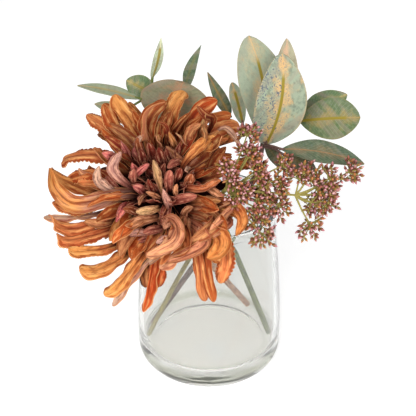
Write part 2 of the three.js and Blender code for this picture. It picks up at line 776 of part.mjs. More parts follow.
// One cluster: buds on short stalks that spread from the end of the branch like an umbel
function clusterSolids(cluster, index) {
  const centre = point(...cluster.at);
  const start = point(...cluster.from);
  const branch = centre.clone().sub(start).normalize();
  const turn = new THREE.Quaternion().setFromUnitVectors(point(0, 1, 0), branch);
  const solids = [stalkSolid(start, centre, BRANCH_RADIUS, TWIG_SIDES)];
  for (let k = 0; k < cluster.buds; k += 1) {
    const cosine = 1 - (UMBEL_OPENING * (k + 0.5)) / cluster.buds;
    const sine = Math.sqrt(1 - cosine ** 2);
    const azimuth = radians(k * GOLDEN_ANGLE + UMBEL_TURN * index);
    const outward = point(sine * Math.cos(azimuth), cosine, sine * Math.sin(azimuth));
    outward.applyQuaternion(turn);
    const reach = cluster.radius * scatterBetween(k + 10 * index, SHORTEST_STALK, 1);
    const root = centre.clone().addScaledVector(branch, -BUD_SPACING * k);
    solids.push(budSolid(root, outward, reach));
  }
  return solids;
}

function fillerSolid() {
  const stemLine = FILLER_STEM.map((p) => point(...p));
  const stem = rodSolid(stemLine, FILLER_STEM_RADIUS, STEM_SIDES, STEM_STEPS);
  const link = stalkSolid(point(...FILLER_FORK), point(...FILLER_SECOND_FORK), LINK_RADIUS, LINK_SIDES);
  return mainBody(fuse([stem, link, ...FILLER_CLUSTERS.flatMap(clusterSolids)]));
}

// Materials with the colours of the photographed object
const glass = new THREE.MeshStandardMaterial({
  color: 0xdfe5de, roughness: 0.05, metalness: 0, transparent: true, opacity: 0.35,
});
const rustPetal = new THREE.MeshStandardMaterial({ color: 0xc4713a, roughness: 0.75, metalness: 0 });
const darkPetal = new THREE.MeshStandardMaterial({ color: 0x5a2a26, roughness: 0.8, metalness: 0 });
const sageLeaf = new THREE.MeshStandardMaterial({ color: 0x8c9a83, roughness: 0.65, metalness: 0 });
const budBronze = new THREE.MeshStandardMaterial({ color: 0x8a6a48, roughness: 0.7, metalness: 0 });
const woodyStem = new THREE.MeshStandardMaterial({ color: 0x9c8260, roughness: 0.7, metalness: 0 });

function named(name, geometry, material) {
  const mesh = new THREE.Mesh(geometry, material);
  mesh.name = name;
  return mesh;
}

// The head's own frame: x to the right across the flower, y along its axis, z down across its face
function bloomGroup() {
  const tilt = radians(BLOOM_TILT);
  const turn = radians(BLOOM_TURN);
  const axis = point(-Math.sin(turn) * Math.cos(tilt), -Math.cos(turn) * Math.cos(tilt), Math.sin(tilt));
  const right = point(Math.cos(turn), -Math.sin(turn), 0);
  const down = right.clone().cross(axis);
  const head = new THREE.Group();
  head.quaternion.setFromRotationMatrix(new THREE.Matrix4().makeBasis(right, axis, down));
  head.position.set(...BLOOM_CENTRE);
  head.add(named("mum_outer_petals", geometryOf(outerPetalsSolid()), rustPetal));
  head.add(named("mum_eye_florets", geometryOf(eyeFloretsSolid()), darkPetal));
  return head;
}

// The bloom's stem runs from its foot on the jar's floor to just under the calyx
const BLOOM_STEM = [[27.3, 27.8, 14], [3, 10, 58], [-19, -4, 102], [-25.1, -7.1, 118.4]];

function bloomStemSolid() {
  return rodSolid(BLOOM_STEM.map((p) => point(...p)), BLOOM_STEM_RADIUS, STEM_SIDES, STEM_STEPS);
}

const group = new THREE.Group();
group.add(named("jar", jarGeometry(), glass));
group.add(bloomGroup());
group.add(named("mum_stem", geometryOf(bloomStemSolid()), woodyStem));
group.add(named("leaf_spray_left", geometryOf(spraySolid(LEFT_SPRAY)), sageLeaf));
group.add(named("leaf_spray_right", geometryOf(spraySolid(RIGHT_SPRAY)), sageLeaf));
group.add(named("filler_spray", geometryOf(fillerSolid()), budBronze));

export default group;
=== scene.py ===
# Chrysanthemum bouquet in a clear glass jar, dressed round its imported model.
# Sizes are in millimetres and angles in degrees unless a name says otherwise; meshes are in metres.
import math

import bpy
import numpy as np
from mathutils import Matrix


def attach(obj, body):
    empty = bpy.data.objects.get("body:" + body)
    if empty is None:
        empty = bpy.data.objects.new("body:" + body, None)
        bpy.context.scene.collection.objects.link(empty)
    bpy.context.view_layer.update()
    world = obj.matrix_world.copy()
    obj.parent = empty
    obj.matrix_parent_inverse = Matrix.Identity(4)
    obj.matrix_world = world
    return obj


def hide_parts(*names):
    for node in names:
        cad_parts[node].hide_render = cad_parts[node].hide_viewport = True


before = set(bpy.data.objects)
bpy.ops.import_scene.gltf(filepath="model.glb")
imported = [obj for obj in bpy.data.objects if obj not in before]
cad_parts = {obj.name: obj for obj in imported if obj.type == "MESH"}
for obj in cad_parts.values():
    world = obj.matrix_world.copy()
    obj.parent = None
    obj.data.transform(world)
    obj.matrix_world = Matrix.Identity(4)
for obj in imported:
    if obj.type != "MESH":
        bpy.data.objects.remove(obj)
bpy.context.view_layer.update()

# The point of view
# A long lens looks down on the bouquet from the front, so that the jar's floor shows as an ellipse.
# Places on the flowers are given further on as they are seen from here, in a square view.
MM = 0.001
VIEW_PLACE = np.array([-0.7, -544.0, 440.5])
VIEW_DOWN = 31.38
VIEW_LENS = 88.62
VIEW_SENSOR = 36
VIEW_SIDE = 416

bpy.ops.object.select_all(action="DESELECT")
bpy.ops.object.camera_add(location=VIEW_PLACE * MM, rotation=(math.radians(90 - VIEW_DOWN), 0, 0))
camera = bpy.context.active_object
camera.name = "camera"
camera.data.lens = VIEW_LENS
camera.data.sensor_width = VIEW_SENSOR
bpy.context.scene.camera = camera


def sight_line(px, py):
    """The direction in which a place in the view lies, seen from the camera."""
    down = math.radians(VIEW_DOWN)
    ahead = np.array([0, math.cos(down), -math.sin(down)])
    upward = np.array([0, math.sin(down), math.cos(down)])
    reach = VIEW_LENS / VIEW_SENSOR * VIEW_SIDE
    line = ahead * reach + np.array([px - VIEW_SIDE / 2, 0, 0]) + upward * (VIEW_SIDE / 2 - py)
    return line / np.linalg.norm(line)


# The floor and the light
# A plain white studio: a wide pale floor, a soft light high at the front left, a weaker one from the
# right, a faint one from above the back, and a pale room round it all that the glass picks up.
# Sizes and places here are in metres, and each lamp has a place, a target, a width and a power in watts.
FLOOR_SIZE = 2.6
FLOOR_DROP = 0.0003
FLOOR_WHITE = 0.62
FLOOR_GRAIN_WHITE = 0.64
FLOOR_GLOW = 0.6
ROOM_LIGHT = 0.34
ROOM_WHITE = 1.0
LAMPS = (
    ("key_light", (-0.4, -1.1, 0.95), (0, 0, 0.12), 0.7, 17.5),
    ("fill_light", (0.7, -1.0, 0.45), (0, 0, 0.10), 0.8, 9.0),
    ("top_light", (0.10, 0.45, 1.30), (0, 0, 0.10), 0.9, 2.0),
)


class Shade:
    """A socket of a node tree. Sums written with it add the Math nodes that work them out."""

    def __init__(self, tree, socket=None):
        self.tree = tree
        self.socket = socket

    def node(self, kind, settings=None, inputs=None, output=0):
        """Adds a node: its settings first, then the values or links of its sockets."""
        made = self.tree.nodes.new(kind)
        for name, value in (settings or {}).items():
            if name != "stops":
                setattr(made, name, value)
                continue
            elements = made.color_ramp.elements
            for index, (place, tint) in enumerate(value):
                stop = elements[index] if index < 2 else elements.new(place)
                stop.position = place
                stop.color = tint
        for name, value in (inputs or {}).items():
            if isinstance(value, Shade):
                self.tree.links.new(value.socket, made.inputs[name])
            else:
                made.inputs[name].default_value = value
        return Shade(self.tree, made.outputs[output] if made.outputs else None)

    def maths(self, operation, *values):
        return self.node("ShaderNodeMath", {"operation": operation}, dict(enumerate(values)))

    def __add__(self, other):
        return self.maths("ADD", self, other)

    def __sub__(self, other):
        return self.maths("SUBTRACT", self, other)

    def __rsub__(self, other):
        return self.maths("SUBTRACT", other, self)

    def __mul__(self, other):
        return self.maths("MULTIPLY", self, other)

    def __abs__(self):
        return self.maths("ABSOLUTE", self)

    __radd__ = __add__
    __rmul__ = __mul__

    def rising(self, low, high):
        """A mask that climbs smoothly from 0 at low to 1 at high, or falls where low is the larger."""
        sockets = {"Value": self, "From Min": low, "From Max": high}
        return self.node("ShaderNodeMapRange", {"interpolation_type": "SMOOTHSTEP"}, sockets)

    def blend(self, first, second):
        """The colour first where this mask is 0, and second where it is 1."""
        return self.node("ShaderNodeMix", {"data_type": "RGBA"}, {0: self, 6: first, 7: second}, 2)

    def parts(self):
        """The three numbers of a vector."""
        split = self.node("ShaderNodeSeparateXYZ", None, {0: self}).socket.node
        return [Shade(self.tree, out) for out in split.outputs]

    def vector(self, x, y, z):
        return self.node("ShaderNodeCombineXYZ", None, {0: x, 1: y, 2: z})

    def noise(self, place, scale, detail=2.0):
        return self.node("ShaderNodeTexNoise", None, {"Vector": place, "Scale": scale, "Detail": detail})

    def attribute(self, name, output="Vector"):
        return self.node("ShaderNodeAttribute", {"attribute_name": name}, None, output)

    def bump(self, height, strength, distance):
        sockets = {"Height": height, "Strength": strength, "Distance": distance}
        return self.node("ShaderNodeBump", None, sockets)

    def surface(self, inputs):
        shader = self.node("ShaderNodeBsdfPrincipled", None, inputs)
        self.node("ShaderNodeOutputMaterial", None, {"Surface": shader})


def new_material(name):
    material = bpy.data.materials.new(name)
    material.use_nodes = True
    material.node_tree.nodes.clear()
    return material, Shade(material.node_tree)


def tint(red, green, blue):
    """A colour as painters' charts give it, 0 to 255, as the light that it sends back."""
    def linear(value):
        share = value / 255
        return share / 12.92 if share <= 0.04045 else ((share + 0.055) / 1.055) ** 2.4
    return (linear(red), linear(green), linear(blue), 1.0)


bpy.context.scene.view_settings.view_transform = "Standard"

bpy.ops.mesh.primitive_plane_add(size=FLOOR_SIZE, location=(0, 0, -FLOOR_DROP))
floor = bpy.context.active_object
floor.name = "studio_floor"
paper, shade = new_material("white_paper")
grain = shade.noise(shade.node("ShaderNodeTexCoord", None, None, "Object"), 60, 3)
shade.surface({
    "Base Color": grain.rising(0.3, 0.7).blend(
        (FLOOR_WHITE, FLOOR_WHITE, FLOOR_WHITE, 1),
        (FLOOR_GRAIN_WHITE, FLOOR_GRAIN_WHITE, FLOOR_GRAIN_WHITE, 1),
    ),
    "Roughness": 0.9,
    "Specular IOR Level": 0.1,
    "Emission Color": (1, 1, 1, 1),
    "Emission Strength": FLOOR_GLOW,
})
floor.data.materials.append(paper)

world = bpy.data.worlds.new("pale_room")
bpy.context.scene.world = world
world.use_nodes = True
world.node_tree.nodes.clear()
room = Shade(world.node_tree)
camera_ray, glossy_ray, transmitted_ray, glass_walls = (
    room.node("ShaderNodeLightPath", None, None, output)
    for output in ("Is Camera Ray", "Is Glossy Ray", "Is Transmission Ray", "Transmission Depth")
)
seen = camera_ray + transmitted_ray + glossy_ray * glass_walls
brightness = room.maths("MINIMUM", seen, 1) * (ROOM_WHITE - ROOM_LIGHT) + ROOM_LIGHT
sky = room.node("ShaderNodeBackground", None, {"Color": (1, 1, 1, 1), "Strength": brightness})
room.node("ShaderNodeOutputWorld", None, {"Surface": sky})

for lamp_name, place, target, size, energy in LAMPS:
    aim = np.array(place) - np.array(target)
    turn = (math.atan2(math.hypot(aim[0], aim[1]), aim[2]), 0, math.atan2(aim[0], -aim[1]))
    bpy.ops.object.light_add(type="AREA", location=place, rotation=turn)
    lamp = bpy.context.active_object
    lamp.name = lamp_name
    lamp.data.size = size
    lamp.data.energy = energy

# The jar
# One piece of clear, faintly green glass: a thick foot with a shallow hollow under it, a rounded heel,
# a body that narrows gently to the neck, and a rolled lip. Pressed in a mould and fire polished.
JAR_HEIGHT = 112.5
JAR_BODY_RADIUS = 47.2
JAR_FOOT_RADIUS = 40
JAR_HEEL_HEIGHT = 10
JAR_NECK_RADIUS = 41
JAR_MOUTH_RADIUS = 38.2
JAR_FLOOR_HEIGHT = 12
JAR_WALL = 3.6
JAR_LIP_WIDTH = 2.1
JAR_LIP_RISE = 2.9
JAR_LIP_ARC = range(-60, 181, 16)
JAR_NECK_DROP = 6.5
JAR_THROAT_DROP = 8.5
JAR_CORNER_RISE = 8
JAR_PUNT_RADIUS = 33
JAR_PUNT_EDGE = 39.5
JAR_PUNT_RISE = 1.6
JAR_SIDES = 128
GLASS_TINT = (0.86, 0.857, 0.828, 1)
GLASS_FOOT_TINT_AND_SHADE = (0.54, 0.56, 0.45, 1)
GLASS_STREAK_TINT = (0.84, 0.855, 0.85, 1)
GLASS_IOR = 1.36
GLASS_CLEARNESS = 0.94


def curve_through(controls, count):
    """Points on the curve that control points pull on, from the second on."""
    found = []
    for share in np.linspace(0, 1, count + 1)[1:]:
        pulled = np.array(controls, float)
        while len(pulled) > 1:
            pulled = pulled[:-1] * (1 - share) + pulled[1:] * share
        found.append(tuple(pulled[0]))
    return found


def turned_piece(name, rings, sides):
    """A closed piece turned about the upright axis, drawn up ring by ring from its underside."""
    first_radius, first_height = rings[0]
    bpy.ops.object.select_all(action="DESELECT")
    bpy.ops.mesh.primitive_circle_add(
        vertices=sides, radius=first_radius * MM, fill_type="TRIFAN", location=(0, 0, 0),
    )
    piece = bpy.context.active_object
    piece.name = name
    bpy.ops.object.mode_set(mode="EDIT")
    bpy.ops.mesh.select_all(action="SELECT")
    bpy.ops.transform.translate(value=(0, 0, first_height * MM))
    bpy.ops.mesh.region_to_loop()
    radius, height = first_radius, first_height
    for next_radius, next_height in rings[1:]:
        rise = (next_height - height) * MM
        bpy.ops.mesh.extrude_edges_move(TRANSFORM_OT_translate={"value": (0, 0, rise)})
        grow = next_radius / radius
        bpy.ops.transform.resize(value=(grow, grow, 1), center_override=(0, 0, 0))
        radius, height = next_radius, next_height
    bpy.ops.mesh.merge(type="CENTER")
    bpy.ops.mesh.select_all(action="SELECT")
    bpy.ops.mesh.normals_make_consistent(inside=False)
    bpy.ops.object.mode_set(mode="OBJECT")
    return piece


wall_radius = JAR_BODY_RADIUS - JAR_WALL
lip_radius = JAR_MOUTH_RADIUS + JAR_LIP_WIDTH
lip_height = JAR_HEIGHT - JAR_LIP_RISE
jar_rings = [(JAR_PUNT_RADIUS, JAR_PUNT_RISE)]
jar_rings += curve_through([
    (JAR_PUNT_RADIUS, JAR_PUNT_RISE), (JAR_PUNT_RADIUS + 3, JAR_PUNT_RISE), (JAR_PUNT_EDGE, 0),
], 5)
jar_rings += curve_through([
    (JAR_FOOT_RADIUS, 0), (JAR_BODY_RADIUS - 0.8, 0.5), (JAR_BODY_RADIUS, JAR_HEEL_HEIGHT),
], 12)
jar_rings += curve_through([
    (JAR_BODY_RADIUS, JAR_HEEL_HEIGHT), (JAR_BODY_RADIUS + 0.2, JAR_HEIGHT * 0.4),
    (JAR_BODY_RADIUS - 3.7, JAR_HEIGHT * 0.69), (JAR_NECK_RADIUS, JAR_HEIGHT - JAR_NECK_DROP),
], 16)
for degrees in JAR_LIP_ARC:
    jar_rings.append((
        lip_radius + JAR_LIP_WIDTH * math.cos(math.radians(degrees)),
        lip_height + JAR_LIP_RISE * math.sin(math.radians(degrees)),
    ))
jar_rings += curve_through([
    (JAR_MOUTH_RADIUS, JAR_HEIGHT - JAR_THROAT_DROP), (JAR_MOUTH_RADIUS + 2.3, JAR_HEIGHT * 0.71),
    (wall_radius, JAR_HEIGHT * 0.43), (wall_radius, JAR_FLOOR_HEIGHT + JAR_CORNER_RISE),
], 14)
jar_rings += curve_through([
    (wall_radius, JAR_FLOOR_HEIGHT + JAR_CORNER_RISE), (wall_radius, JAR_FLOOR_HEIGHT),
    (wall_radius - 7, JAR_FLOOR_HEIGHT),
], 8)
jar_rings += [(24, JAR_FLOOR_HEIGHT - 0.4), (9, JAR_FLOOR_HEIGHT - 0.6)]
jar = turned_piece("glass_jar", jar_rings, JAR_SIDES)
bpy.ops.object.shade_smooth()

glass, shade = new_material("clear_glass")
spot = shade.node("ShaderNodeTexCoord", None, None, "Object")
ripple = shade.noise(shade.node("ShaderNodeMapping", None, {"Vector": spot, "Scale": (1, 1, 0.35)}), 22, 1)
spot_x, spot_y, spot_z = spot.parts()
outwards = shade.maths("SQRT", spot_x * spot_x + spot_y * spot_y)
# The outer heel is coloured a darker grey-green: partly the green of thick glass, partly painted shade where
# the heel looks dark.
foot_tint_and_shade_band = outwards.rising(0.034, 0.042) * spot_z.rising(0.003, 0.008) * spot_z.rising(0.016, 0.011)
foot_rings = shade.noise(shade.vector(spot_x, spot_y, spot_z * 16), 20, 1) * spot_z.rising(0.04, 0.01)
streaks = shade.noise(shade.vector(spot_x, spot_y, spot_z * 0.12), 26, 2).rising(0.52, 0.7)
glass_colour = streaks.blend(GLASS_TINT, GLASS_STREAK_TINT)
shade.surface({
    "Base Color": foot_tint_and_shade_band.blend(glass_colour, GLASS_FOOT_TINT_AND_SHADE),
    "Roughness": shade.noise(spot, 35, 2).rising(0.45, 0.8) * 0.02,
    "Normal": shade.bump(ripple + foot_rings, 0.16, 0.0015),
    "Transmission Weight": GLASS_CLEARNESS,
    "IOR": GLASS_IOR,
})
jar.data.materials.append(glass)
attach(jar, "root")
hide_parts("jar")

# The stem of the bloom
# A plastic-coated wire in a tan bark colour with a pink cast. It stands on the jar's floor at the right
# rear, leans on the rim and ends under the calyx. The rod for it is drawn once and bent for every stem.
BLOOM_STEM_RADIUS = 2.3
BLOOM_STEM_LINE = [(27.3, 27.8, 14), (3, 10, 58), (-19, -4, 102), (-25.1, -7.1, 118.4)]
BARK_LIGHT = tint(206, 160, 124)
BARK_DARK = tint(138, 90, 64)
ROD_SIDES = 12
ROD_STEPS = 40
LINE_STATIONS = 25
CURVE_STEPS = 16
ROD_UNEVENNESS = 0.05


def scatter(k):
    """A repeatable random draw between 0 and 1."""
    value = math.sin(k * 12.9898) * 43758.5453
    return value - math.floor(value)


def scatter_between(k, low, high):
    return low + (high - low) * scatter(k)


def in_edit_mode(*steps):
    """Runs the given operators on the whole of the active mesh."""
    bpy.ops.object.mode_set(mode="EDIT")
    bpy.ops.mesh.select_all(action="SELECT")
    for operator, values in steps:
        operator(**values)
    bpy.ops.object.mode_set(mode="OBJECT")


def rod_blank(name, sides, steps):
    """A straight rod of radius 1 and length 1 that stands on the origin, ringed for bending."""
    bpy.ops.object.select_all(action="DESELECT")
    bpy.ops.mesh.primitive_circle_add(vertices=sides, radius=1, fill_type="NGON", location=(0, 0, 0))
    blank = bpy.context.active_object
    blank.name = name
    rise = {"TRANSFORM_OT_translate": {"value": (0, 0, 1 / steps)}}
    in_edit_mode(
        *[(bpy.ops.mesh.extrude_region_move, rise)] * steps,
        (bpy.ops.mesh.select_all, {"action": "SELECT"}),
        (bpy.ops.mesh.normals_make_consistent, {"inside": False}),
    )
    return blank


def corners_of(blank):
    """The corners of a blank as rows of three numbers."""
    found = np.zeros(len(blank.data.vertices) * 3)
    blank.data.vertices.foreach_get("co", found)
    return found.reshape(-1, 3)


def smooth_line(points, count):
    """Evenly spaced points and directions on the smooth curve through the given points."""
    given = np.array(points, float)
    given = np.vstack([2 * given[0] - given[1], given, 2 * given[-1] - given[-2]])
    dense = []
    for before, start, end, after in zip(given, given[1:], given[2:], given[3:]):
        first = np.linalg.norm(start - before) ** 0.5
        span = np.linalg.norm(end - start) ** 0.5
        last = np.linalg.norm(after - end) ** 0.5
        leave = ((start - before) / first - (end - before) / (first + span) + (end - start) / span) * span
        arrive = ((end - start) / span - (after - start) / (span + last) + (after - end) / last) * span
        for t in np.linspace(0, 1, CURVE_STEPS, endpoint=False):
            dense.append(
                (2 * t**3 - 3 * t**2 + 1) * start + (t**3 - 2 * t**2 + t) * leave
                + (3 * t**2 - 2 * t**3) * end + (t**3 - t**2) * arrive
            )
    dense = np.array(dense + [given[-2]])
    walked = np.concatenate([[0], np.cumsum(np.linalg.norm(np.diff(dense, axis=0), axis=1))])
    stations = np.linspace(0, walked[-1], count)
    line = np.stack([np.interp(stations, walked, dense[:, axis]) for axis in range(3)], 1)
    along = np.gradient(line, axis=0)
    return line, along / np.linalg.norm(along, axis=1)[:, None]


def rows_at(rows, stations):
    """Rows of three numbers read between the given ones, at stations counted in rows."""
    return np.stack([np.interp(stations, np.arange(len(rows)), rows[:, axis]) for axis in range(3)], 1)


def bent_rod(blank, points, radii, seed):
    """The corners of a rod bent along a line, its radius following the given ones and slightly uneven."""
    line, along = smooth_line(points, LINE_STATIONS)
    side = np.cross(along[0], (0.3, 0.9, 0.2))
    sides = []
    for direction in along:
        side = side - direction * (side @ direction)
        side = side / np.linalg.norm(side)
        sides.append(side)
    sides = np.array(sides)
    ups = np.cross(along, sides)
    corners = corners_of(blank)
    upward = corners[:, 2]
    stations = upward * (LINE_STATIONS - 1)
    radius = np.interp(upward, np.linspace(0, 1, len(radii)), radii)
    bumps = np.sin(upward * 31 + seed) * np.sin(upward * 12.7 + 2 * seed)
    round_line = corners[:, :2] * (radius * (1 + ROD_UNEVENNESS * bumps))[:, None]
    sideways = rows_at(sides, stations) * round_line[:, :1]
    return rows_at(line, stations) + sideways + rows_at(ups, stations) * round_line[:, 1:]


def copy_of(blank, points, notes):
    """A copy of a blank with a mesh of its own: its corners laid at points, and notes for its material."""
    piece = blank.copy()
    piece.data = blank.data.copy()
    bpy.context.collection.objects.link(piece)
    piece.data.vertices.foreach_set("co", (points * MM).astype(np.float32).ravel())
    for name, value in notes.items():
        values = np.broadcast_to(np.array(value, float), (len(points), len(np.array(value).T)))
        kind, field = ("FLOAT_COLOR", "color") if values.shape[1] == 4 else ("FLOAT_VECTOR", "vector")
        attribute = piece.data.attributes.new(name, kind, "POINT")
        attribute.data.foreach_set(field, values.astype(np.float32).ravel())
    return piece


def joined(name, pieces, smooth_angle=55):
    """The pieces as one object, smooth but for its sharp edges."""
    bpy.ops.object.select_all(action="DESELECT")
    for piece in pieces:
        piece.select_set(True)
    bpy.context.view_layer.objects.active = pieces[0]
    if len(pieces) > 1:
        bpy.ops.object.join()
    whole = bpy.context.active_object
    whole.name = name
    bpy.ops.object.shade_smooth_by_angle(angle=math.radians(smooth_angle))
    return whole


def rod_piece(blank, line, radii, seed):
    """A rod bent along a line, noting where each corner lies round and along it."""
    notes = {"lay": corners_of(blank)[:, [0, 2, 1]], "marks": (seed, 0, 0)}
    return copy_of(blank, bent_rod(blank, line, radii, seed), notes)


def bark_material(name, light, dark, streaks):
    """Stem bark: long streaks of two tones, with a fine grain that runs along the stem."""
    material, shade = new_material(name)
    round_x, along, round_y = shade.attribute("lay").parts()
    seed = shade.attribute("marks").parts()[0]
    place = shade.vector(round_x + seed, along * streaks, round_y)
    streak = shade.noise(place, 3.2, 4)
    grain = shade.noise(shade.vector(round_x * 4, along * streaks * 6, round_y * 4), 4, 3)
    shade.surface({
        "Base Color": streak.rising(0.35, 0.65).blend(dark, light),
        "Roughness": 0.55 + grain * 0.25,
        "Normal": shade.bump(grain + streak, 0.5, 0.0005),
    })
    return material


stem_blank = rod_blank("stem_blank", ROD_SIDES, ROD_STEPS)
bloom_stem_radii = (BLOOM_STEM_RADIUS * 0.9, BLOOM_STEM_RADIUS, BLOOM_STEM_RADIUS)
bloom_stem = joined("bloom_stem", [rod_piece(stem_blank, BLOOM_STEM_LINE, bloom_stem_radii, seed=1)])
bloom_stem.data.materials.append(bark_material("tan_bark", BARK_LIGHT, BARK_DARK, streaks=9))
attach(bloom_stem, "root")
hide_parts("mum_stem")

# The calyx
# A green cup moulded in soft plastic, pushed on the stem: every petal of the bloom is rooted in it.
# The head's own frame has its axis upright, x to the right across the flower and z down its face.
BLOOM_CENTRE = np.array([-26.0, -12.0, 127.0])
BLOOM_TILT = math.radians(56)
BLOOM_TURN = math.radians(10)
CALYX_RADIUS = 10.5
CALYX_FOOT_RADIUS = 4
CALYX_DEPTH = 6
CALYX_TOP = -2.6
CALYX_SIDES = 36
CALYX_RIBS = 12
CALYX_RIB_DEPTH = 0.04
CALYX_GREEN = tint(104, 112, 62)
CALYX_BROWN = tint(88, 66, 44)
HEAD_AXIS = np.array([
    -math.sin(BLOOM_TURN) * math.cos(BLOOM_TILT),
    -math.cos(BLOOM_TURN) * math.cos(BLOOM_TILT),
    math.sin(BLOOM_TILT),
])
HEAD_RIGHT = np.array([math.cos(BLOOM_TURN), -math.sin(BLOOM_TURN), 0])
HEAD_DOWN = np.cross(HEAD_RIGHT, HEAD_AXIS)


def on_head(places):
    """Places in the head's own frame as places in the room."""
    return BLOOM_CENTRE + places @ np.stack([HEAD_RIGHT, HEAD_AXIS, HEAD_DOWN])


def set_on_head(piece, rib_depth=0):
    """The corners of an upright turned piece as places on the head, with ribs round it if asked."""
    x, y, height = (corners_of(piece) / MM).T
    ribbed = 1 + rib_depth * np.sin(np.arctan2(y, x) * CALYX_RIBS)
    return on_head(np.stack([x * ribbed, height, -y * ribbed], 1))


calyx_foot = (CALYX_FOOT_RADIUS, CALYX_TOP - CALYX_DEPTH)
calyx_rings = [calyx_foot]
calyx_rings += curve_through([
    calyx_foot, (CALYX_RADIUS, CALYX_TOP - CALYX_DEPTH), (CALYX_RADIUS, CALYX_TOP),
], 8)
calyx_rings += [(CALYX_RADIUS * 0.8, CALYX_TOP + 0.3), (CALYX_RADIUS * 0.4, CALYX_TOP + 0.4)]
calyx = turned_piece("calyx", calyx_rings, CALYX_SIDES)
calyx_places = set_on_head(calyx, CALYX_RIB_DEPTH)
calyx.data.vertices.foreach_set("co", (calyx_places * MM).astype(np.float32).ravel())
bpy.ops.object.shade_smooth()
green_cup, shade = new_material("calyx_green")
mottle = shade.noise(shade.node("ShaderNodeTexCoord", None, None, "Object"), 420, 4)
shade.surface({
    "Base Color": mottle.rising(0.4, 0.65).blend(CALYX_GREEN, CALYX_BROWN),
    "Roughness": 0.5 + mottle * 0.25,
    "Normal": shade.bump(mottle, 0.4, 0.0005),
})
calyx.data.materials.append(green_cup)
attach(calyx, "root")
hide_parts("mum_outer_petals")

# The long outer petals
# Strips of dyed fabric, golden orange to rust, pressed hot so that two ridges run along a darker groove.
# They are glued into the calyx one by one and curl out and down; some have a pinked, toothed edge.
# The ridges and top rims carry a painted highlight, and the groove's dark is partly painted shade.
PETAL_THICKNESS = 0.6
PETAL_TIP_CROWDING = 1.35
LONG_ROOT = (9.5, -4)
RIDGE_HEIGHT = 1.0
EDGE_DROP = 2.4
EDGE_ROLL = 5.5
EDGE_FRILL = 0.75
TOOTH_DEPTH = 0.15
SIDE_SWAY = 1.7
TONE_RANGE = (0.62, 1.16)
# Painted shade: petals towards the upper left of the head are coloured darker by SIDE_SHADE, as if less light
# reached them.
SHADED_SIDE = 120
SIDE_SHADE = 0.14
DOME_HEIGHT = 21
DOME_FALL = 0.0075
# Painted shade under the bloom's rounded top starts this deep below it and reaches full dark over the next
# span.
HEAD_SHADE_START = 2.5
HEAD_SHADE_SPAN = 7
UNDER_FACE = -0.01
LONG_PETAL_STATIONS = 78
LONG_PETAL_COLUMNS = 8
PETAL_FINISHES = {
    "golden": (tint(188, 98, 58), tint(240, 162, 88)),
    "orange": (tint(176, 86, 52), tint(228, 136, 80)),
    "rust": (tint(146, 60, 30), tint(210, 106, 50)),
    "brown": (tint(92, 34, 18), tint(164, 84, 44)),
    "red": (tint(150, 46, 20), tint(226, 88, 34)),
    "pink": (tint(196, 118, 90), tint(246, 174, 134)),
    "pale": (tint(200, 152, 134), tint(238, 196, 168)),
    "ash": (tint(160, 146, 142), tint(196, 176, 164)),
}
PETAL_ROOT_AND_SHADE_DARK = tint(42, 6, 3)
PETAL_GROOVE_DYE_AND_SHADE = tint(92, 30, 24)
PETAL_STREAK = tint(138, 48, 16)
PETAL_HIGHLIGHT_AND_STREAK = tint(255, 202, 130)
PETAL_UNDERSIDE = tint(206, 134, 96)
PETAL_FIELDS = ("finish", "azimuth", "length", "width", "rise", "bow", "curl", "sweep", "twist", "teeth")
LONG_PETALS = [
    ("rust", 17, 60, 9.5, 3, -15, -44, -16, 0, 0),
    ("rust", 29, 50, 9, 10, -15, -34, 12, 0, 0),
    ("golden", 50, 58, 9, 42, -50, -70, 8, 0, 0),
    ("golden", 55, 44, 9.5, 60, -18, -23, -33, 0, 0),
    ("orange", 69, 70, 10, 50, -57, -90, -44, 0, 0),
    ("rust", 75, 61, 9, 46, -40, -46, -42, 0, 0),
    ("red", 80, 63, 9.5, 61, -30, -35, -48, 10, 0),
    ("golden", 98, 64, 11.5, 64, -52, -50, -28, 0, 0.3),
    ("brown", 123, 61, 8.5, 79, -53, -58, -71, 20, 0),
    ("brown", 117, 66, 9, 74, -66, -70, 30, 10, 0),
    ("golden", 126, 64, 10, 50, -8, 25, 8, 0, 0),
    ("rust", 140, 60, 9, 44, -10, 14, -9, 10, 0.4),
    ("orange", 143, 63, 9, 37, -26, -21, 0, 0, 0.6),
    ("orange", 158, 75, 9, 53, -57, -82, 28, 0, 1),
    ("rust", 167, 68, 8.5, 42, -53, -92, 24, 0, 1),
    ("golden", 190, 68, 10, 4, -14, 100, -20, 0, 0),
    ("orange", 197, 64, 7, 12, -7, 67, 10, 0, 0.5),
    ("pale", 208, 66, 6, 11, -9, 8, -17, 30, 0),
    ("orange", 213, 77, 9, 9, -2, 105, 0, 0, 0.3),
    ("orange", 231, 72, 8, 12, -16, 92, -24, 0, 0.5),
    ("golden", 245, 68, 10, 6, -22, 95, -44, 0, 0.2),
    ("golden", 263, 71, 10.5, 10, -35, 92, -60, 0, 0),
    ("golden", 270, 70, 9, 16, -28, 41, -39, 0, 0),
    ("pale", 272, 70, 6.5, 17, -39, -13, -44, 20, 0),
    ("orange", 260, 52, 8, 22, -54, -15, 13, 0, 0),
    ("red", 273, 53, 8, 31, -66, -21, 0, 0, 0.5),
    ("red", 277, 69, 6, 26, -52, 18, -17, 30, 0),
    ("pink", 313, 60, 7.5, 52, -35, -35, -100, 0, 0),
    ("pink", 324, 58, 9, 40, -48, -25, -115, 0, 0),
    ("orange", 307, 70, 7, 38, -74, -24, -23, 10, 0),
    ("rust", 313, 70, 7, 29, -56, 8, -29, 10, 0),
    ("golden", 316, 56, 12, 48, -75, -45, 0, 0, 0.3),
    ("ash", 342, 60, 4.5, 32, -70, -10, -75, 0, 0),
    ("orange", 351, 70, 9.5, 28, -62, -5, -100, 0, 1),
    ("golden", 349, 50, 8.5, 36, -44, -60, -10, 0, 0),
]


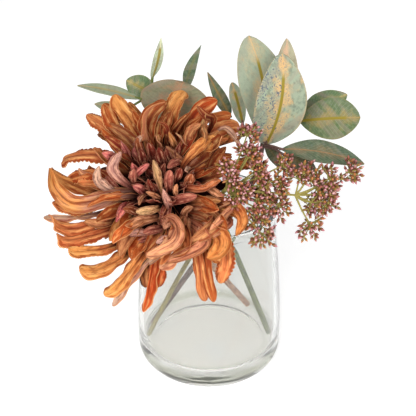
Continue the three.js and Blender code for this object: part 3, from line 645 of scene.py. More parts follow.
def blade_blank(name, stations, columns, thickness):
    """A flat blade, x 0 to 1 from root to tip and y -1 to 1 across, its thickness below in millimetres."""
    bpy.ops.object.select_all(action="DESELECT")
    bpy.ops.mesh.primitive_grid_add(
        x_subdivisions=stations, y_subdivisions=columns, size=2, location=(0, 0, 0),
    )
    blank = bpy.context.active_object
    blank.name = name
    in_edit_mode(
        (bpy.ops.transform.translate, {"value": (1, 0, 0)}),
        (bpy.ops.transform.resize, {"value": (0.5, 1, 1), "center_override": (0, 0, 0)}),
    )
    body = blank.modifiers.new("body", "SOLIDIFY")
    body.thickness = thickness
    body.offset = -1
    bpy.ops.object.modifier_apply(modifier=body.name)
    return blank


def petal_spine(petal, along):
    """Distance out, height and slope of a petal's middle line at shares of its length."""
    fine = np.linspace(0, 1, 241)
    slope_at = lambda s: np.radians(petal["rise"] + petal["bow"] * s + petal["curl"] * s**3)
    middle = slope_at((fine[1:] + fine[:-1]) / 2)
    step = petal["length"] / (len(fine) - 1)
    out = np.concatenate([[0], np.cumsum(np.cos(middle) * step)])
    up = np.concatenate([[0], np.cumsum(np.sin(middle) * step)])
    reach = max(out.max() - out.min(), 1)
    return np.interp(along, fine, out), np.interp(along, fine, up), slope_at(along), reach


def petal_places(petal, along, side, lift):
    """Places of a petal's corners in the head's frame, from their share of its length,
    their distance from its middle line and their height over its face."""
    out, up, slope, reach = petal_spine(petal, along)
    bend = math.radians(petal["sweep"] or 0.01) / reach
    turn = np.radians(petal["twist"]) * along
    z = side * np.cos(turn) - lift * np.sin(turn)
    normal = side * np.sin(turn) + lift * np.cos(turn)
    x = out - normal * np.sin(slope)
    y = up + normal * np.cos(slope) + petal["root"][1]
    swept_x = np.sin(bend * x) * (1 / bend - z) + petal["root"][0]
    swept_z = (1 / bend - z) * np.cos(bend * x) - 1 / bend
    azimuth = math.radians(petal["azimuth"])
    return np.stack([
        swept_x * math.cos(azimuth) + swept_z * math.sin(azimuth),
        y,
        swept_z * math.cos(azimuth) - swept_x * math.sin(azimuth),
    ], 1)


def long_width(along):
    """Share of a long petal's width: narrow at the root, full from the middle on, round at the tip."""
    body = 0.28 + 0.72 * np.minimum(1, along / 0.6) ** 1.1
    tip = np.sqrt(np.maximum(0.015, 1 - (np.maximum(0, along - 0.86) / 0.14) ** 2))
    return body * tip


def blade_notes(blank, along, seed, near, far, amount=0.0, third=0.0):
    """Where each corner lies across and along its blade and on which face, and the blade's own colours."""
    corners = corners_of(blank)
    under = (corners[:, 2] < UNDER_FACE).astype(float)
    level = np.ones(len(along))
    return {
        "lay": np.stack([corners[:, 1], along, under], 1),
        "marks": np.stack([level * seed, level * amount, level * third], 1),
        "near": near,
        "far": far,
    }


def tone_and_side_shade(finish, seed, azimuth):
    """The two colours of a petal finish, lighter or darker at random for each petal, with painted shade
    darker at the upper left of the head.
    """
    tone = scatter_between(seed * 3.7, *TONE_RANGE)
    tone -= SIDE_SHADE * math.cos(math.radians(azimuth - SHADED_SIDE))
    return [tuple(min(1, part * tone) for part in colour[:3]) + (1.0,) for colour in PETAL_FINISHES[finish]]


def painted_shade_depth(places):
    """How much painted shade a place gets for lying under the bloom's rounded top, from 0 at the top to 1
    deep below.
    """
    top = DOME_HEIGHT - DOME_FALL * (places[:, 0] ** 2 + places[:, 2] ** 2)
    return np.clip((top - places[:, 1] - HEAD_SHADE_START) / HEAD_SHADE_SPAN, 0, 1)


def long_petal(blank, petal, seed):
    """One long petal laid on the head."""
    corners = corners_of(blank)
    along = 1 - (1 - corners[:, 0]) ** PETAL_TIP_CROWDING
    across = corners[:, 1]
    step = np.round(corners[:, 0] * LONG_PETAL_STATIONS).astype(int)
    tooth = np.array([-1.0, 0.4, 0.4])[step % 3] * TOOTH_DEPTH * petal["teeth"]
    soft_wave = 0.13 * np.sin(along * 15 + seed * 9 + np.sign(across) * 1.3)
    soft_wave += 0.05 * np.sin(along * 43 + seed * 70)
    half = long_width(along) * petal["width"] / 2
    grown = 1 + np.abs(across) ** 3 * (soft_wave + tooth * np.clip(along * 2.5, 0, 1))
    body = np.clip(along / 0.12, 0, 1) * np.clip((1 - along) / 0.1, 0.25, 1) * np.minimum(1, half / 3)
    ridge_height = RIDGE_HEIGHT * scatter_between(seed * 19, 0.6, 1.25)
    ridge = ridge_height * np.sin(np.pi * np.abs(across)) ** 1.5 * body
    wave = 1.1 * np.sin(along * 8 + seed * 25) * across * body
    drop = EDGE_DROP * (1 + 0.7 * np.sin(seed * 31) * np.sign(across)) * np.cos(along * 3.2 + seed * 12) ** 2
    frill = EDGE_FRILL * np.sin(along * 37 + seed * 60 + across * 2) * across**4 * body
    rolled_side = np.maximum(0, across * math.copysign(1, scatter(seed * 41) - 0.5))
    roll = EDGE_ROLL * scatter(seed * 67) * rolled_side**3 * np.sin(np.pi * along) * body
    lift = ridge - (drop + 0.4) * np.abs(across) ** 3 * body + wave + roll + frill + corners[:, 2]
    calm_ends = np.clip(along * 3, 0, 1) * np.clip((1 - along) * 4, 0, 1)
    sway = SIDE_SWAY * np.sin(along * 5.5 + seed * 17) * calm_ends
    places = petal_places(petal, along, across * half * grown + sway, lift)
    near, far = tone_and_side_shade(petal["finish"], seed, petal["azimuth"])
    notes = blade_notes(blank, along, seed, near, far, petal["teeth"], painted_shade_depth(places))
    return copy_of(blank, on_head(places), notes)


def petal_material(name, root_and_shade_dark, groove, streak_dark, light, underside, groove_strength):
    """Petal fabric: darker at the root, a groove darkened partly as dye and partly as painted shade, fine
    lines along it, a painted highlight on the ridges and top rims, and painted shade deep under the bloom's
    top.
    """
    material, shade = new_material(name)
    across, along, under = shade.attribute("lay").parts()
    seed, teeth, depth = shade.attribute("marks").parts()
    near = shade.attribute("near", "Color")
    far = shade.attribute("far", "Color")
    cloud = shade.noise(shade.vector(across * 0.7, along * 2.6, seed * 19), 2.6, 3)
    streak = shade.noise(shade.vector(across * 1.9, along * 1.3, seed * 37), 3.4, 4)
    line = shade.noise(shade.vector(across * 6, along * 1.8, seed * 53), 3.6, 4)
    fibre = shade.noise(shade.vector(across * 12, along * 7, seed * 11), 5, 3)
    body = (along + cloud * 0.9 - 0.45).rising(0.25, 0.9).blend(near, far)
    # Painted highlight: the two ridges are coloured lighter where light would catch them.
    ridge = abs(abs(across) - 0.5).rising(0.3, 0.05) * cloud.rising(0.36, 0.6)
    body = (ridge * along.rising(0.25, 0.7) * 0.45).blend(body, light)
    # Pale fine lines along the fabric, in the same light colour as the highlight.
    body = (line.rising(0.44, 0.34) * 0.3).blend(body, light)
    body = (line.rising(0.54, 0.66) * 0.38).blend(body, streak_dark)
    body = (streak.rising(0.52, 0.68) * along.rising(1.1, 0.5) * 0.7).blend(body, streak_dark)
    # The groove between the ridges is darkened: partly a dark dye line, partly painted shade in the crease.
    ditch = abs(across + (cloud - 0.5) * 0.16).rising(0.24, 0.03) * along.rising(0.97, 0.7)
    body = (ditch * streak.rising(0.3, 0.5) * groove_strength).blend(body, groove)
    blotch = shade.noise(shade.vector(across * 1.1, along * 3.2, seed * 71), 4.2, 5)
    body = (blotch.rising(0.5, 0.62) * 0.45).blend(body, streak_dark)
    edge = (abs(across) + (line - 0.5) * 0.4 + (blotch - 0.5) * 0.9).rising(0.52, 0.9)
    body = (edge * (teeth * 0.3 + 0.6)).blend(body, streak_dark)
    # A pale rim on the top face, partly the paler cut edge of the fabric and partly a painted highlight.
    body = (abs(across).rising(0.94, 1.0) * (1 - under) * 0.6).blend(body, light)
    body = (under * 0.5).blend(body, underside)
    inside = 1 - under * 0.85
    # Darker towards the root; then painted shade, deepest where a place lies far under the bloom's rounded
    # top.
    body = ((along + (streak - 0.5) * 0.5).rising(0.56, 0.08) * inside).blend(body, root_and_shade_dark)
    body = ((depth + (streak - 0.5) * depth * 0.5).rising(0.0, 0.95) * inside).blend(body, root_and_shade_dark)
    shade.surface({
        "Base Color": body,
        "Roughness": 0.6 + streak * 0.25,
        "Normal": shade.bump(fibre * 0.7 + line * 1.2 + streak, 0.7, 0.0006),
        "Specular IOR Level": 0.12,
    })
    return material


long_blank = blade_blank("long_blank", LONG_PETAL_STATIONS, LONG_PETAL_COLUMNS, PETAL_THICKNESS)
long_pieces = []
for index, row in enumerate(LONG_PETALS):
    petal = dict(zip(PETAL_FIELDS, row), root=LONG_ROOT)
    long_pieces.append(long_petal(long_blank, petal, scatter(index + 0.3)))
long_petals = joined("long_petals", long_pieces)
outer_fabric = petal_material(
    "outer_petal_fabric", PETAL_ROOT_AND_SHADE_DARK, PETAL_GROOVE_DYE_AND_SHADE, PETAL_STREAK, PETAL_HIGHLIGHT_AND_STREAK, PETAL_UNDERSIDE,
    groove_strength=0.6,
)
long_petals.data.materials.append(outer_fabric)
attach(long_petals, "root")
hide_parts("mum_outer_petals")

# The middle petals
# Shorter lance-shaped strips of the same fabric, rust and mauve brown, that stand between the long
# petals and the middle. Two rings of them are set by the golden angle, clear of the buds at the right,
# and the broad or hooked ones that stand out of the crowd are placed one by one.
GOLDEN_ANGLE = 137.508
MIDDLE_PETAL_COUNT = 23
MIDDLE_ROOT = (9.5, -3.6)
MIDDLE_CUP = 1.3
MIDDLE_FINISHES = ("rust", "brown", "tan", "pink", "rust", "mauve", "orange")
UNDER_PETAL_COUNT = 42
UNDER_ROOT = (9.5, -3.8)
UNDER_FINISHES = ("rust", "brown", "orange", "pink", "rust", "golden", "tan")
FILLER_GAP = 18
SHORT_STATIONS = 32
SHORT_COLUMNS = 6
SHORT_THICKNESS = 0.4
SHORT_TIP_CROWDING = 1.2
FACE_OF_HEAD = np.array([0.15, 0.9, 0.3])
FACE_LEAN = 0.9
SIGHT_WALK = np.arange(460, 700, 0.5)
PATH_STATIONS = 33
PATH_ROOT_RADIUS = 7
PATH_ROOT_HEIGHT = CALYX_TOP + 0.3
PATH_ROOT_WIDTH = 0.36
PETAL_FINISHES.update({
    "mauve": (tint(112, 36, 28), tint(190, 106, 88)),
    "maroon": (tint(64, 10, 6), tint(132, 40, 28)),
    "rose": (tint(176, 62, 58), tint(238, 128, 122)),
    "blush": (tint(168, 98, 84), tint(232, 176, 158)),
    "cream": (tint(176, 118, 74), tint(232, 186, 130)),
    "peach": (tint(216, 162, 140), tint(236, 154, 80)),
    "tan": (tint(144, 82, 54), tint(212, 144, 98)),
})

# Finish, places in the view from root to tip with their lift over the bloom's rounded top, width
BROAD_PETALS = [
    ("pink", (
        (161, 220, -4), (172, 219, 6), (178, 229, 14), (175, 241, 20), (162, 249, 23), (147, 255, 24),
    ), 7),
    ("golden", ((196, 226, -8), (211, 230, 0), (220, 241, 6), (217, 251, 8), (207, 258, 7)), 10),
    ("pink", ((190, 222, -4), (201, 230, 4), (206, 243, 9), (190, 254, 13), (163, 263, 13)), 8.5),
    ("orange", ((182, 220, -4), (189, 234, 6), (188, 248, 10), (170, 257, 10)), 7),
    ("tan", ((188, 208, -6), (206, 212, 0), (215, 221, 4), (204, 232, 8), (190, 241, 10)), 9),
    ("pink", ((233, 204, 1), (225, 215, 6), (210, 230, 11)), 4.6),
    ("golden", ((224, 203, -2), (236, 210, 1), (241, 221, 3), (236, 236, 2)), 7),
    ("pink", ((230, 221, -1), (218, 230, 4), (205, 241, 9)), 6),
    ("pink", ((160, 228, -8), (153, 243, -3), (147, 258, 1)), 6.5),
    ("pale", ((166, 247, 18), (158, 255, 19), (149, 263, 16)), 5),
    ("brown", ((172, 140, 3), (179, 125, 17), (191, 112, 27)), 5),
    ("rust", ((188, 140, 6), (190, 125, 20), (201, 117, 27)), 5),
    ("tan", ((187, 146, 4), (195, 134, 10), (203, 126, 16)), 6),
    ("cream", ((206, 138, 15), (203, 126, 19), (206, 114, 28)), 3.4),
    ("maroon", ((212, 122, 18), (204, 115, 27), (197, 106, 33)), 5),
    ("brown", ((208, 172, -4), (216, 158, 4), (226, 147, 8)), 7),
    ("rust", ((188, 178, -8), (205, 168, -2), (223, 158, 2)), 8),
    ("brown", ((194, 184, -12), (208, 178, -5), (224, 172, -2)), 8),
    ("golden", ((184, 164, 0), (196, 150, 10), (212, 136, 16)), 7),
    ("golden", ((212, 170, -6), (222, 163, 0), (234, 162, 2)), 6),
    ("pale", ((224, 128, 14), (233, 135, 13), (241, 147, 8)), 4),
    ("brown", ((164, 140, 4), (165, 125, 14), (171, 111, 22)), 6.5),
    ("rust", ((150, 140, 9), (141, 124, 18), (133, 111, 28)), 6),
    ("brown", ((120, 152, 2), (110, 141, 10), (98, 134, 14)), 7),
    ("maroon", ((130, 156, 4), (120, 147, 14), (105, 136, 23)), 7),
    ("maroon", ((124, 181, -8), (111, 176, -2), (100, 170, 4)), 6),
    ("peach", (
        (131, 193, -6), (112, 196, 0), (92, 202, 10), (72, 203, 22), (57, 190, 30), (50, 168, 33),
    ), 10.5),
    ("brown", ((160, 156, -3), (159, 136, 8), (164, 115, 19)), 7),
    ("maroon", ((176, 160, -4), (186, 141, 10), (197, 124, 20)), 7),
    ("brown", ((190, 169, -3), (204, 157, 6), (217, 142, 12)), 9),
    ("orange", ((136, 232, -10), (124, 244, -4), (122, 258, 0)), 7.5),
    ("tan", ((126, 216, -12), (104, 226, -2), (84, 222, 8)), 7),
    ("brown", (
        (151, 150, -4), (147, 139, 10), (145, 126, 22), (147, 114, 31), (154, 106, 36), (165, 102, 39),
    ), 6.5),
    ("tan", ((188, 150, -2), (187, 140, 11), (191, 130, 20), (201, 124, 25)), 5.4),
    ("maroon", ((168, 146, 0), (168, 134, 13), (165, 125, 20), (158, 122, 24)), 4.6),
    ("tan", ((205, 142, 6), (203, 130, 16), (207, 120, 24)), 5),
]


def floret_width(along, seed):
    """Share of a short petal's width: some end blunt like a spoon, others in a soft point."""
    blunt = 0.4 + 0.6 * np.minimum(1, along / 0.62) ** 1.2
    blunt = blunt * np.sqrt(np.maximum(0.02, 1 - (np.maximum(0, along - 0.7) / 0.3) ** 2))
    pointed = np.maximum(0.08, np.sin(np.pi * (0.14 + 0.85 * along) ** 1.25) ** 0.75)
    share = np.clip(scatter(seed * 7.7) * 1.6 - 0.1, 0, 1)
    return blunt * share + pointed * (1 - share)


def cupped(along, across, half, seed, depth):
    """Height of a short petal's face over its middle: cupped, creased, with uneven, frilled sides."""
    lopsided = 1 + 0.6 * np.sin(seed * 23) * np.sign(across)
    cup = depth * scatter_between(seed * 5.3, 0.3, 1) * half * across**2 * lopsided
    crease = 0.34 * half * np.exp(-((across / 0.2) ** 2)) * (1 - along * 0.6)
    wave = 0.25 * half * np.sin(along * 8 + seed * 20) * across
    frill = 0.14 * half * np.sin(along * 29 + seed * 50 + across * 3) * across**2
    return cup - crease + wave + frill


def short_petal(blank, petal, seed, depth):
    """One middle petal or floret, cupped along its middle."""
    corners = corners_of(blank)
    along = 1 - (1 - corners[:, 0]) ** SHORT_TIP_CROWDING
    across = corners[:, 1]
    half = floret_width(along, seed) * petal["width"] / 2
    lift = cupped(along, across, half, seed, depth) + corners[:, 2]
    places = petal_places(petal, along, across * half, lift)
    near, far = tone_and_side_shade(petal["finish"], seed, petal["azimuth"])
    return copy_of(blank, on_head(places), blade_notes(
        blank, along, seed, near, far, third=painted_shade_depth(places),
    ))


def ring_petal(finishes, k, azimuth, root, draw, ranges):
    """A petal of a ring, each of its measures drawn between the two given limits."""
    petal = {"finish": finishes[k % len(finishes)], "azimuth": azimuth % 360, "root": root}
    for step, (measure, limits) in enumerate(ranges.items()):
        petal[measure] = scatter_between(draw + step * 0.1, *limits)
    return petal


def clear_of_buds(petal, short_length):
    """The same petal, cut short if it stands beside the filler."""
    if petal["azimuth"] < FILLER_GAP or petal["azimuth"] > 360 - FILLER_GAP:
        petal["length"] = short_length
    return petal


def middle_petal(k):
    share = k / (MIDDLE_PETAL_COUNT - 1)
    return clear_of_buds(ring_petal(MIDDLE_FINISHES, k, 40 + k * GOLDEN_ANGLE, MIDDLE_ROOT, k + 0.1, {
        "length": (32 + 6 * share, 40 + 6 * share), "width": (7, 8.6),
        "rise": (30 - 18 * share, 46 - 18 * share), "bow": (-50, 15), "curl": (-50, 95),
        "sweep": (-45, 45), "twist": (-60, 60),
    }), short_length=22)


def under_petal(k):
    """A petal of the lower ring, that closes the gaps between the long ones and is longer at the top."""
    azimuth = 15 + k * GOLDEN_ANGLE
    longer = 6 if 45 < azimuth % 360 < 135 else 0
    return clear_of_buds(ring_petal(UNDER_FINISHES, k, azimuth, UNDER_ROOT, k + 5.1, {
        "length": (38 + longer, 54 + longer), "width": (6, 9), "rise": (26, 56), "bow": (-50, -10),
        "curl": (-60, 60), "sweep": (-50, 50), "twist": (-55, 55),
    }), short_length=26)


def dome_place(px, py, lift):
    """Where the line of sight meets the rounded top of the bloom, raised by lift, in the head's frame."""
    places = VIEW_PLACE + SIGHT_WALK[:, None] * sight_line(px, py) - BLOOM_CENTRE
    right, height, down = places @ HEAD_RIGHT, places @ HEAD_AXIS, places @ HEAD_DOWN
    first = np.argmax(height < DOME_HEIGHT + lift - DOME_FALL * (right**2 + down**2))
    return np.array([right[first], height[first], down[first]])


def placed_petal(blank, finish, path, width, seed, depth):
    """A petal rooted in the calyx that follows its places in the view, facing outwards with a lean."""
    shown_places = [dome_place(*place) for place in path]
    start = shown_places[0]
    flat = math.hypot(start[0], start[2])
    inward = min(PATH_ROOT_RADIUS, flat) / max(flat, 0.01)
    heart = np.array([start[0] * inward, PATH_ROOT_HEIGHT, start[2] * inward])
    line, lengthways = smooth_line([heart] + shown_places, PATH_STATIONS)
    lean = np.array([scatter(seed * 91) - 0.5, 0, scatter(seed * 57) - 0.5]) * FACE_LEAN
    corners = corners_of(blank)
    along = 1 - (1 - corners[:, 0]) ** SHORT_TIP_CROWDING
    stations = along * (PATH_STATIONS - 1)
    forward = rows_at(lengthways, stations)
    facing = FACE_OF_HEAD + lean - forward * ((FACE_OF_HEAD + lean) * forward).sum(1)[:, None]
    facing = facing / np.linalg.norm(facing, axis=1)[:, None]
    sideways = np.cross(facing, forward)
    hidden = np.linalg.norm(start - heart) / (np.linalg.norm(np.diff(line, axis=0), axis=1).sum())
    shown = np.clip((along - hidden * 0.8) / (1 - hidden * 0.8), 0, 1)
    across = corners[:, 1]
    half = np.where(shown > 0, floret_width(shown, seed), PATH_ROOT_WIDTH) * width / 2
    lift = (cupped(shown, across, half, seed, depth) + corners[:, 2])[:, None]
    places = rows_at(line, stations) + sideways * (across * half)[:, None] + facing * lift
    tip = shown_places[-1]
    near, far = tone_and_side_shade(finish, seed, math.degrees(math.atan2(-tip[2], tip[0])))
    return copy_of(blank, on_head(places), blade_notes(
        blank, 0.2 + shown * 0.8, seed, near, far, third=painted_shade_depth(places),
    ))


short_blank = blade_blank("short_blank", SHORT_STATIONS, SHORT_COLUMNS, SHORT_THICKNESS)
middle_rows = [middle_petal(k) for k in range(MIDDLE_PETAL_COUNT)]
middle_rows += [under_petal(k) for k in range(UNDER_PETAL_COUNT)]
middle_pieces = [
    short_petal(short_blank, petal, scatter(k + 0.77), MIDDLE_CUP) for k, petal in enumerate(middle_rows)
]
for k, (finish, path, width) in enumerate(BROAD_PETALS):
    middle_pieces.append(placed_petal(short_blank, finish, path, width, scatter(k + 1.9), MIDDLE_CUP))
middle_petals = joined("middle_petals", middle_pieces)
middle_petals.data.materials.append(outer_fabric)
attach(middle_petals, "root")
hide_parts("mum_outer_petals")

# The eye
# Small folded florets in maroon, mauve, dusty pink and cream on a low dome painted near-black, a painted
# shade between them. The plain ones are set by the golden angle and lean outwards; the ones that can be told
# apart are placed one by one.
EYE_RADIUS = 8.6
EYE_HEIGHT = 9
EYE_FLOOR = CALYX_TOP + 0.3
EYE_SIDES = 24
FLORET_COUNT = 37
FLORET_CUP = 0.8
FLORET_FINISHES = ("maroon", "maroon", "mauve", "maroon", "maroon", "brown")
# Near-black: the florets' darker roots, the painted shade deep in the eye, and the dome painted as the shade
# between florets.
EYE_DARK_AND_SHADE = tint(28, 4, 3)
FLORET_GROOVE_DYE_AND_SHADE = tint(60, 14, 10)
FLORET_STREAK = tint(96, 26, 16)
FLORET_HIGHLIGHT_AND_STREAK = tint(250, 190, 150)
FLORET_UNDERSIDE = tint(180, 96, 76)
# Finish, places in the view from root to tip with their lift over the bloom's rounded top, width
PLACED_FLORETS = [
    ("cream", ((162, 195, -4), (157, 178, 3), (153, 160, 7)), 5.6),
    ("blush", ((170, 207, -4), (165, 197, 3), (163, 189, 7)), 5),
    ("mauve", ((172, 202, -4), (182, 199, 2), (197, 196, 4)), 6.2),
    ("tan", ((184, 217, -3), (187, 211, 2), (193, 207, 4)), 5),
    ("mauve", ((169, 190, -4), (168, 179, 2), (170, 170, 4)), 5.6),
    ("tan", ((177, 197, -3), (176, 190, 1), (177, 184, 2)), 3.2),
    ("mauve", ((182, 162, -4), (174, 163, 2), (168, 168, 5)), 4.6),
    ("pale", ((191, 174, -3), (187, 170, 2), (185, 170, 5)), 4),
    ("golden", ((162, 152, -3), (160, 143, 8), (156, 135, 17)), 5.4),
    ("tan", ((185, 165, -4), (175, 155, 2), (166, 146, 4)), 4.6),
    ("golden", ((177, 153, -3), (174, 142, 10), (169, 132, 20)), 4.6),
    ("cream", ((190, 152, -2), (184, 142, 10), (176, 133, 19)), 4),
    ("brown", ((186, 172, -2), (200, 160, 4), (216, 146, 7)), 9),
    ("orange", ((186, 189, -4), (203, 190, 0), (221, 180, 2)), 5.4),
    ("golden", ((190, 203, -6), (204, 202, -1), (221, 201, 1)), 5.4),
    ("tan", ((187, 211, -7), (202, 213, -2), (219, 214, -1)), 8),
    ("pink", ((218, 214, -4), (206, 225, 2), (194, 241, 4)), 4.8),
    ("pink", ((228, 211, -7), (218, 225, -2), (209, 240, -1)), 4.8),
    ("tan", ((187, 214, -6), (186, 221, -2), (188, 232, 0)), 5.6),
    ("cream", ((159, 208, -4), (147, 211, 2), (136, 212, 5)), 5.6),
    ("tan", ((158, 217, -4), (140, 221, 2), (126, 227, 5)), 6.2),
    ("blush", ((149, 232, -4), (138, 233, 2), (129, 235, 4)), 4.8),
    ("mauve", ((162, 227, -6), (151, 230, -1), (143, 233, 1)), 5.2),
    ("blush", ((174, 239, -4), (164, 239, 2), (156, 243, 4)), 5),
    ("mauve", ((152, 236, -6), (142, 240, -1), (135, 243, 1)), 4.4),
    ("rose", ((126, 205, -4), (120, 213, 2), (116, 222, 4)), 5),
    ("blush", ((126, 234, -4), (119, 232, 0), (115, 233, 2)), 5),
    ("rose", ((144, 192, -4), (138, 188, 2), (133, 186, 4)), 5.6),
    ("tan", ((146, 195, -2), (141, 199, 3), (139, 205, 5)), 2.8),
    ("tan", ((160, 198, -3), (151, 194, 2), (146, 192, 5)), 3),
    ("maroon", ((153, 193, -4), (149, 185, 2), (148, 179, 4)), 4.6),
    ("rose", ((142, 160, -3), (137, 153, 4), (134, 147, 8)), 5.4),
    ("rose", ((138, 172, -4), (134, 166, 2), (132, 163, 5)), 5),
    ("rose", ((136, 178, -4), (141, 170, 2), (149, 164, 4)), 4),
    ("rose", ((131, 160, -2), (126, 150, 12), (121, 141, 21)), 5.4),
    ("rose", ((116, 158, 4), (109, 155, 12), (102, 153, 17)), 6),
    ("blush", ((128, 185, -1), (113, 169, 8), (121, 152, 13)), 7.4),
    ("pale", ((112, 191, 0), (98, 180, 9), (99, 166, 14)), 6.4),
    ("tan", ((125, 164, -4), (125, 157, 2), (128, 152, 4)), 4),
    ("pale", ((134, 148, 0), (137, 141, 12), (143, 135, 19)), 3.4),
    ("maroon", ((149, 160, -6), (144, 151, -1), (141, 144, 1)), 5.6),
    ("mauve", ((135, 186, -6), (133, 177, 0), (134, 169, 2)), 5),
    ("brown", ((186, 186, -4), (189, 180, 0), (192, 174, 2)), 6),
    ("mauve", ((167, 206, -7), (165, 215, -2), (165, 228, 0)), 6.6),
    ("pink", ((175, 216, -4), (169, 220, 2), (164, 229, 5)), 5.4),
    ("maroon", ((160, 178, -6), (162, 170, -1), (165, 163, 1)), 4.6),
    ("maroon", ((176, 182, -6), (178, 175, -1), (181, 168, 1)), 4.6),
    ("brown", ((140, 212, -6), (130, 209, -1), (123, 209, 1)), 5),
    ("brown", ((121, 196, -6), (113, 203, -1), (108, 214, 1)), 5),
    ("mauve", ((118, 190, -6), (110, 183, -1), (106, 176, 1)), 5),
    ("maroon", ((154, 164, -6), (151, 153, 5), (148, 143, 13)), 6),
    ("brown", ((196, 168, -6), (206, 166, -2), (217, 165, 0)), 5.6),
    ("tan", ((203, 186, -6), (212, 190, -2), (224, 198, 0)), 4.6),
    ("orange", ((196, 222, -6), (204, 222, -2), (216, 221, 0)), 5),
    ("maroon", ((164, 166, -6), (160, 156, 3), (158, 148, 9)), 6),
    ("maroon", ((146, 168, -6), (142, 158, 4), (140, 149, 11)), 6),
    ("maroon", ((172, 164, -6), (169, 155, 3), (166, 148, 9)), 5),
    ("brown", ((144, 160, -4), (139, 147, 9), (137, 138, 16)), 5),
    ("maroon", ((178, 160, -4), (177, 150, 6), (180, 143, 12)), 4.6),
]


def floret(k):
    """A floret of the dome, short and upright in the middle, longer and leaning further out."""
    share = math.sqrt((k + 0.5) / FLORET_COUNT)
    root = (EYE_RADIUS * 0.82 * share, EYE_HEIGHT * (1 - share**2) * 0.7 + CALYX_TOP + 1.2)
    petal = ring_petal(FLORET_FINISHES, k, k * GOLDEN_ANGLE, root, k + 0.15, {
        "length": (8 + 14 * share, 14 + 14 * share), "rise": (84 - 46 * share, 96 - 46 * share),
        "bow": (-18, 22), "curl": (-20, 30), "sweep": (-25, 25), "twist": (-30, 30),
    })
    petal["width"] = 5 + 2.4 * share
    return petal


eye_rings = [(EYE_RADIUS, EYE_FLOOR)]
for degrees in range(10, 90, 10):
    angle = math.radians(degrees)
    eye_rings.append((EYE_RADIUS * math.cos(angle), EYE_FLOOR + EYE_HEIGHT * math.sin(angle)))
dome = turned_piece("eye_dome", eye_rings, EYE_SIDES)
# The dome is painted near-black as the shade seen between the florets.
dome_notes = {"lay": (0.5, 0.1, 0), "marks": (0.5, 0, 0), "near": EYE_DARK_AND_SHADE, "far": EYE_DARK_AND_SHADE}
eye_pieces = [copy_of(dome, set_on_head(dome), dome_notes)]
bpy.data.objects.remove(dome)
for k in range(FLORET_COUNT):
    eye_pieces.append(short_petal(short_blank, floret(k), scatter(k + 0.51), FLORET_CUP))
for k, (finish, path, width) in enumerate(PLACED_FLORETS):
    eye_pieces.append(placed_petal(short_blank, finish, path, width, scatter(k + 3.3), FLORET_CUP))
eye_florets = joined("eye_florets", eye_pieces)
floret_fabric = petal_material(
    "floret_fabric", EYE_DARK_AND_SHADE, FLORET_GROOVE_DYE_AND_SHADE, FLORET_STREAK, FLORET_HIGHLIGHT_AND_STREAK, FLORET_UNDERSIDE,
    groove_strength=0.5,
)
eye_florets.data.materials.append(floret_fabric)
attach(eye_florets, "root")
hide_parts("mum_eye_florets")

# The leaves
# Each leaf is printed fabric, sage green with a tan blush, stiffened by an olive wire glued along its
# lower midrib and wired to a twig. The left spray stands behind the bloom on a green stem.
LEAF_STEM_RADIUS = 1.9
PETIOLE_RADIUS = 0.9
STALK_SINK = 1.5
STALK_REACH = 3
LEAF_THICKNESS = 0.7
LEAF_FOLD = 0.12
LEAST_HALF_WIDTH = 0.25
LEAF_STATIONS = 40
LEAF_COLUMNS = 12
RIB_WIDTH = 0.8
RIB_HEIGHT = 0.55
RIB_END = 0.8
RIB_FADE = 0.15
RIB_OLIVE = tint(134, 118, 34)
SPOT_NAVY = tint(92, 98, 104)
LEAF_UNDERSIDE = tint(158, 168, 140)
LEAF_PATCH = tint(84, 96, 82)
LEAF_MAUVE = tint(142, 128, 112)
LEAF_FINISHES = {
    "sage": (tint(138, 148, 120), tint(190, 158, 112)),
    "celadon": (tint(174, 186, 158), tint(214, 208, 160)),
    "olive": (tint(130, 128, 98), tint(180, 132, 98)),
    "tan": (tint(168, 162, 134), tint(212, 170, 138)),
    "grey": (tint(140, 152, 130), tint(204, 162, 106)),
    "lime": (tint(84, 102, 60), tint(164, 136, 78)),
    "dark": (tint(70, 88, 62), tint(168, 120, 76)),
    "forest": (tint(70, 90, 64), tint(96, 108, 78)),
    # The shade finish is a darker olive for the two small leaves under the right spray: partly their own
    # olive, partly painted shade.
    "shade": (tint(66, 70, 40), tint(116, 92, 50)),
    "striped": (tint(84, 108, 66), tint(178, 158, 100)),
}
LEAF_FIELDS = (
    "finish", "base", "tip", "width", "face", "bow", "sway", "widest", "roundness", "twist", "blush", "spots",
    "wire",
)
LEFT_STEM = [(40, -5, 15), (18, 13, 65), (-4, 31, 112), (-13, 31, 140), (-16, 34, 152)]
LEFT_TWIGS = [
    [(-16, 34, 150), (-24, 36, 160), (-33, 36, 170)],
    [(-33, 36, 170), (-38, 34, 171), (-43, 31, 169)],
    [(-33, 36, 169), (-35, 37, 175), (-35, 37, 180)],
    [(-16, 34, 151), (-17, 37, 163), (-15, 38, 172)],
    [(-4, 31, 112), (4, 32, 138), (13, 32, 157)],
    [(-33, 36, 170), (-44, 34, 165), (-53, 33, 159)],
    [(-16, 34, 149), (-22, 35, 146), (-26, 33.5, 149)],
]
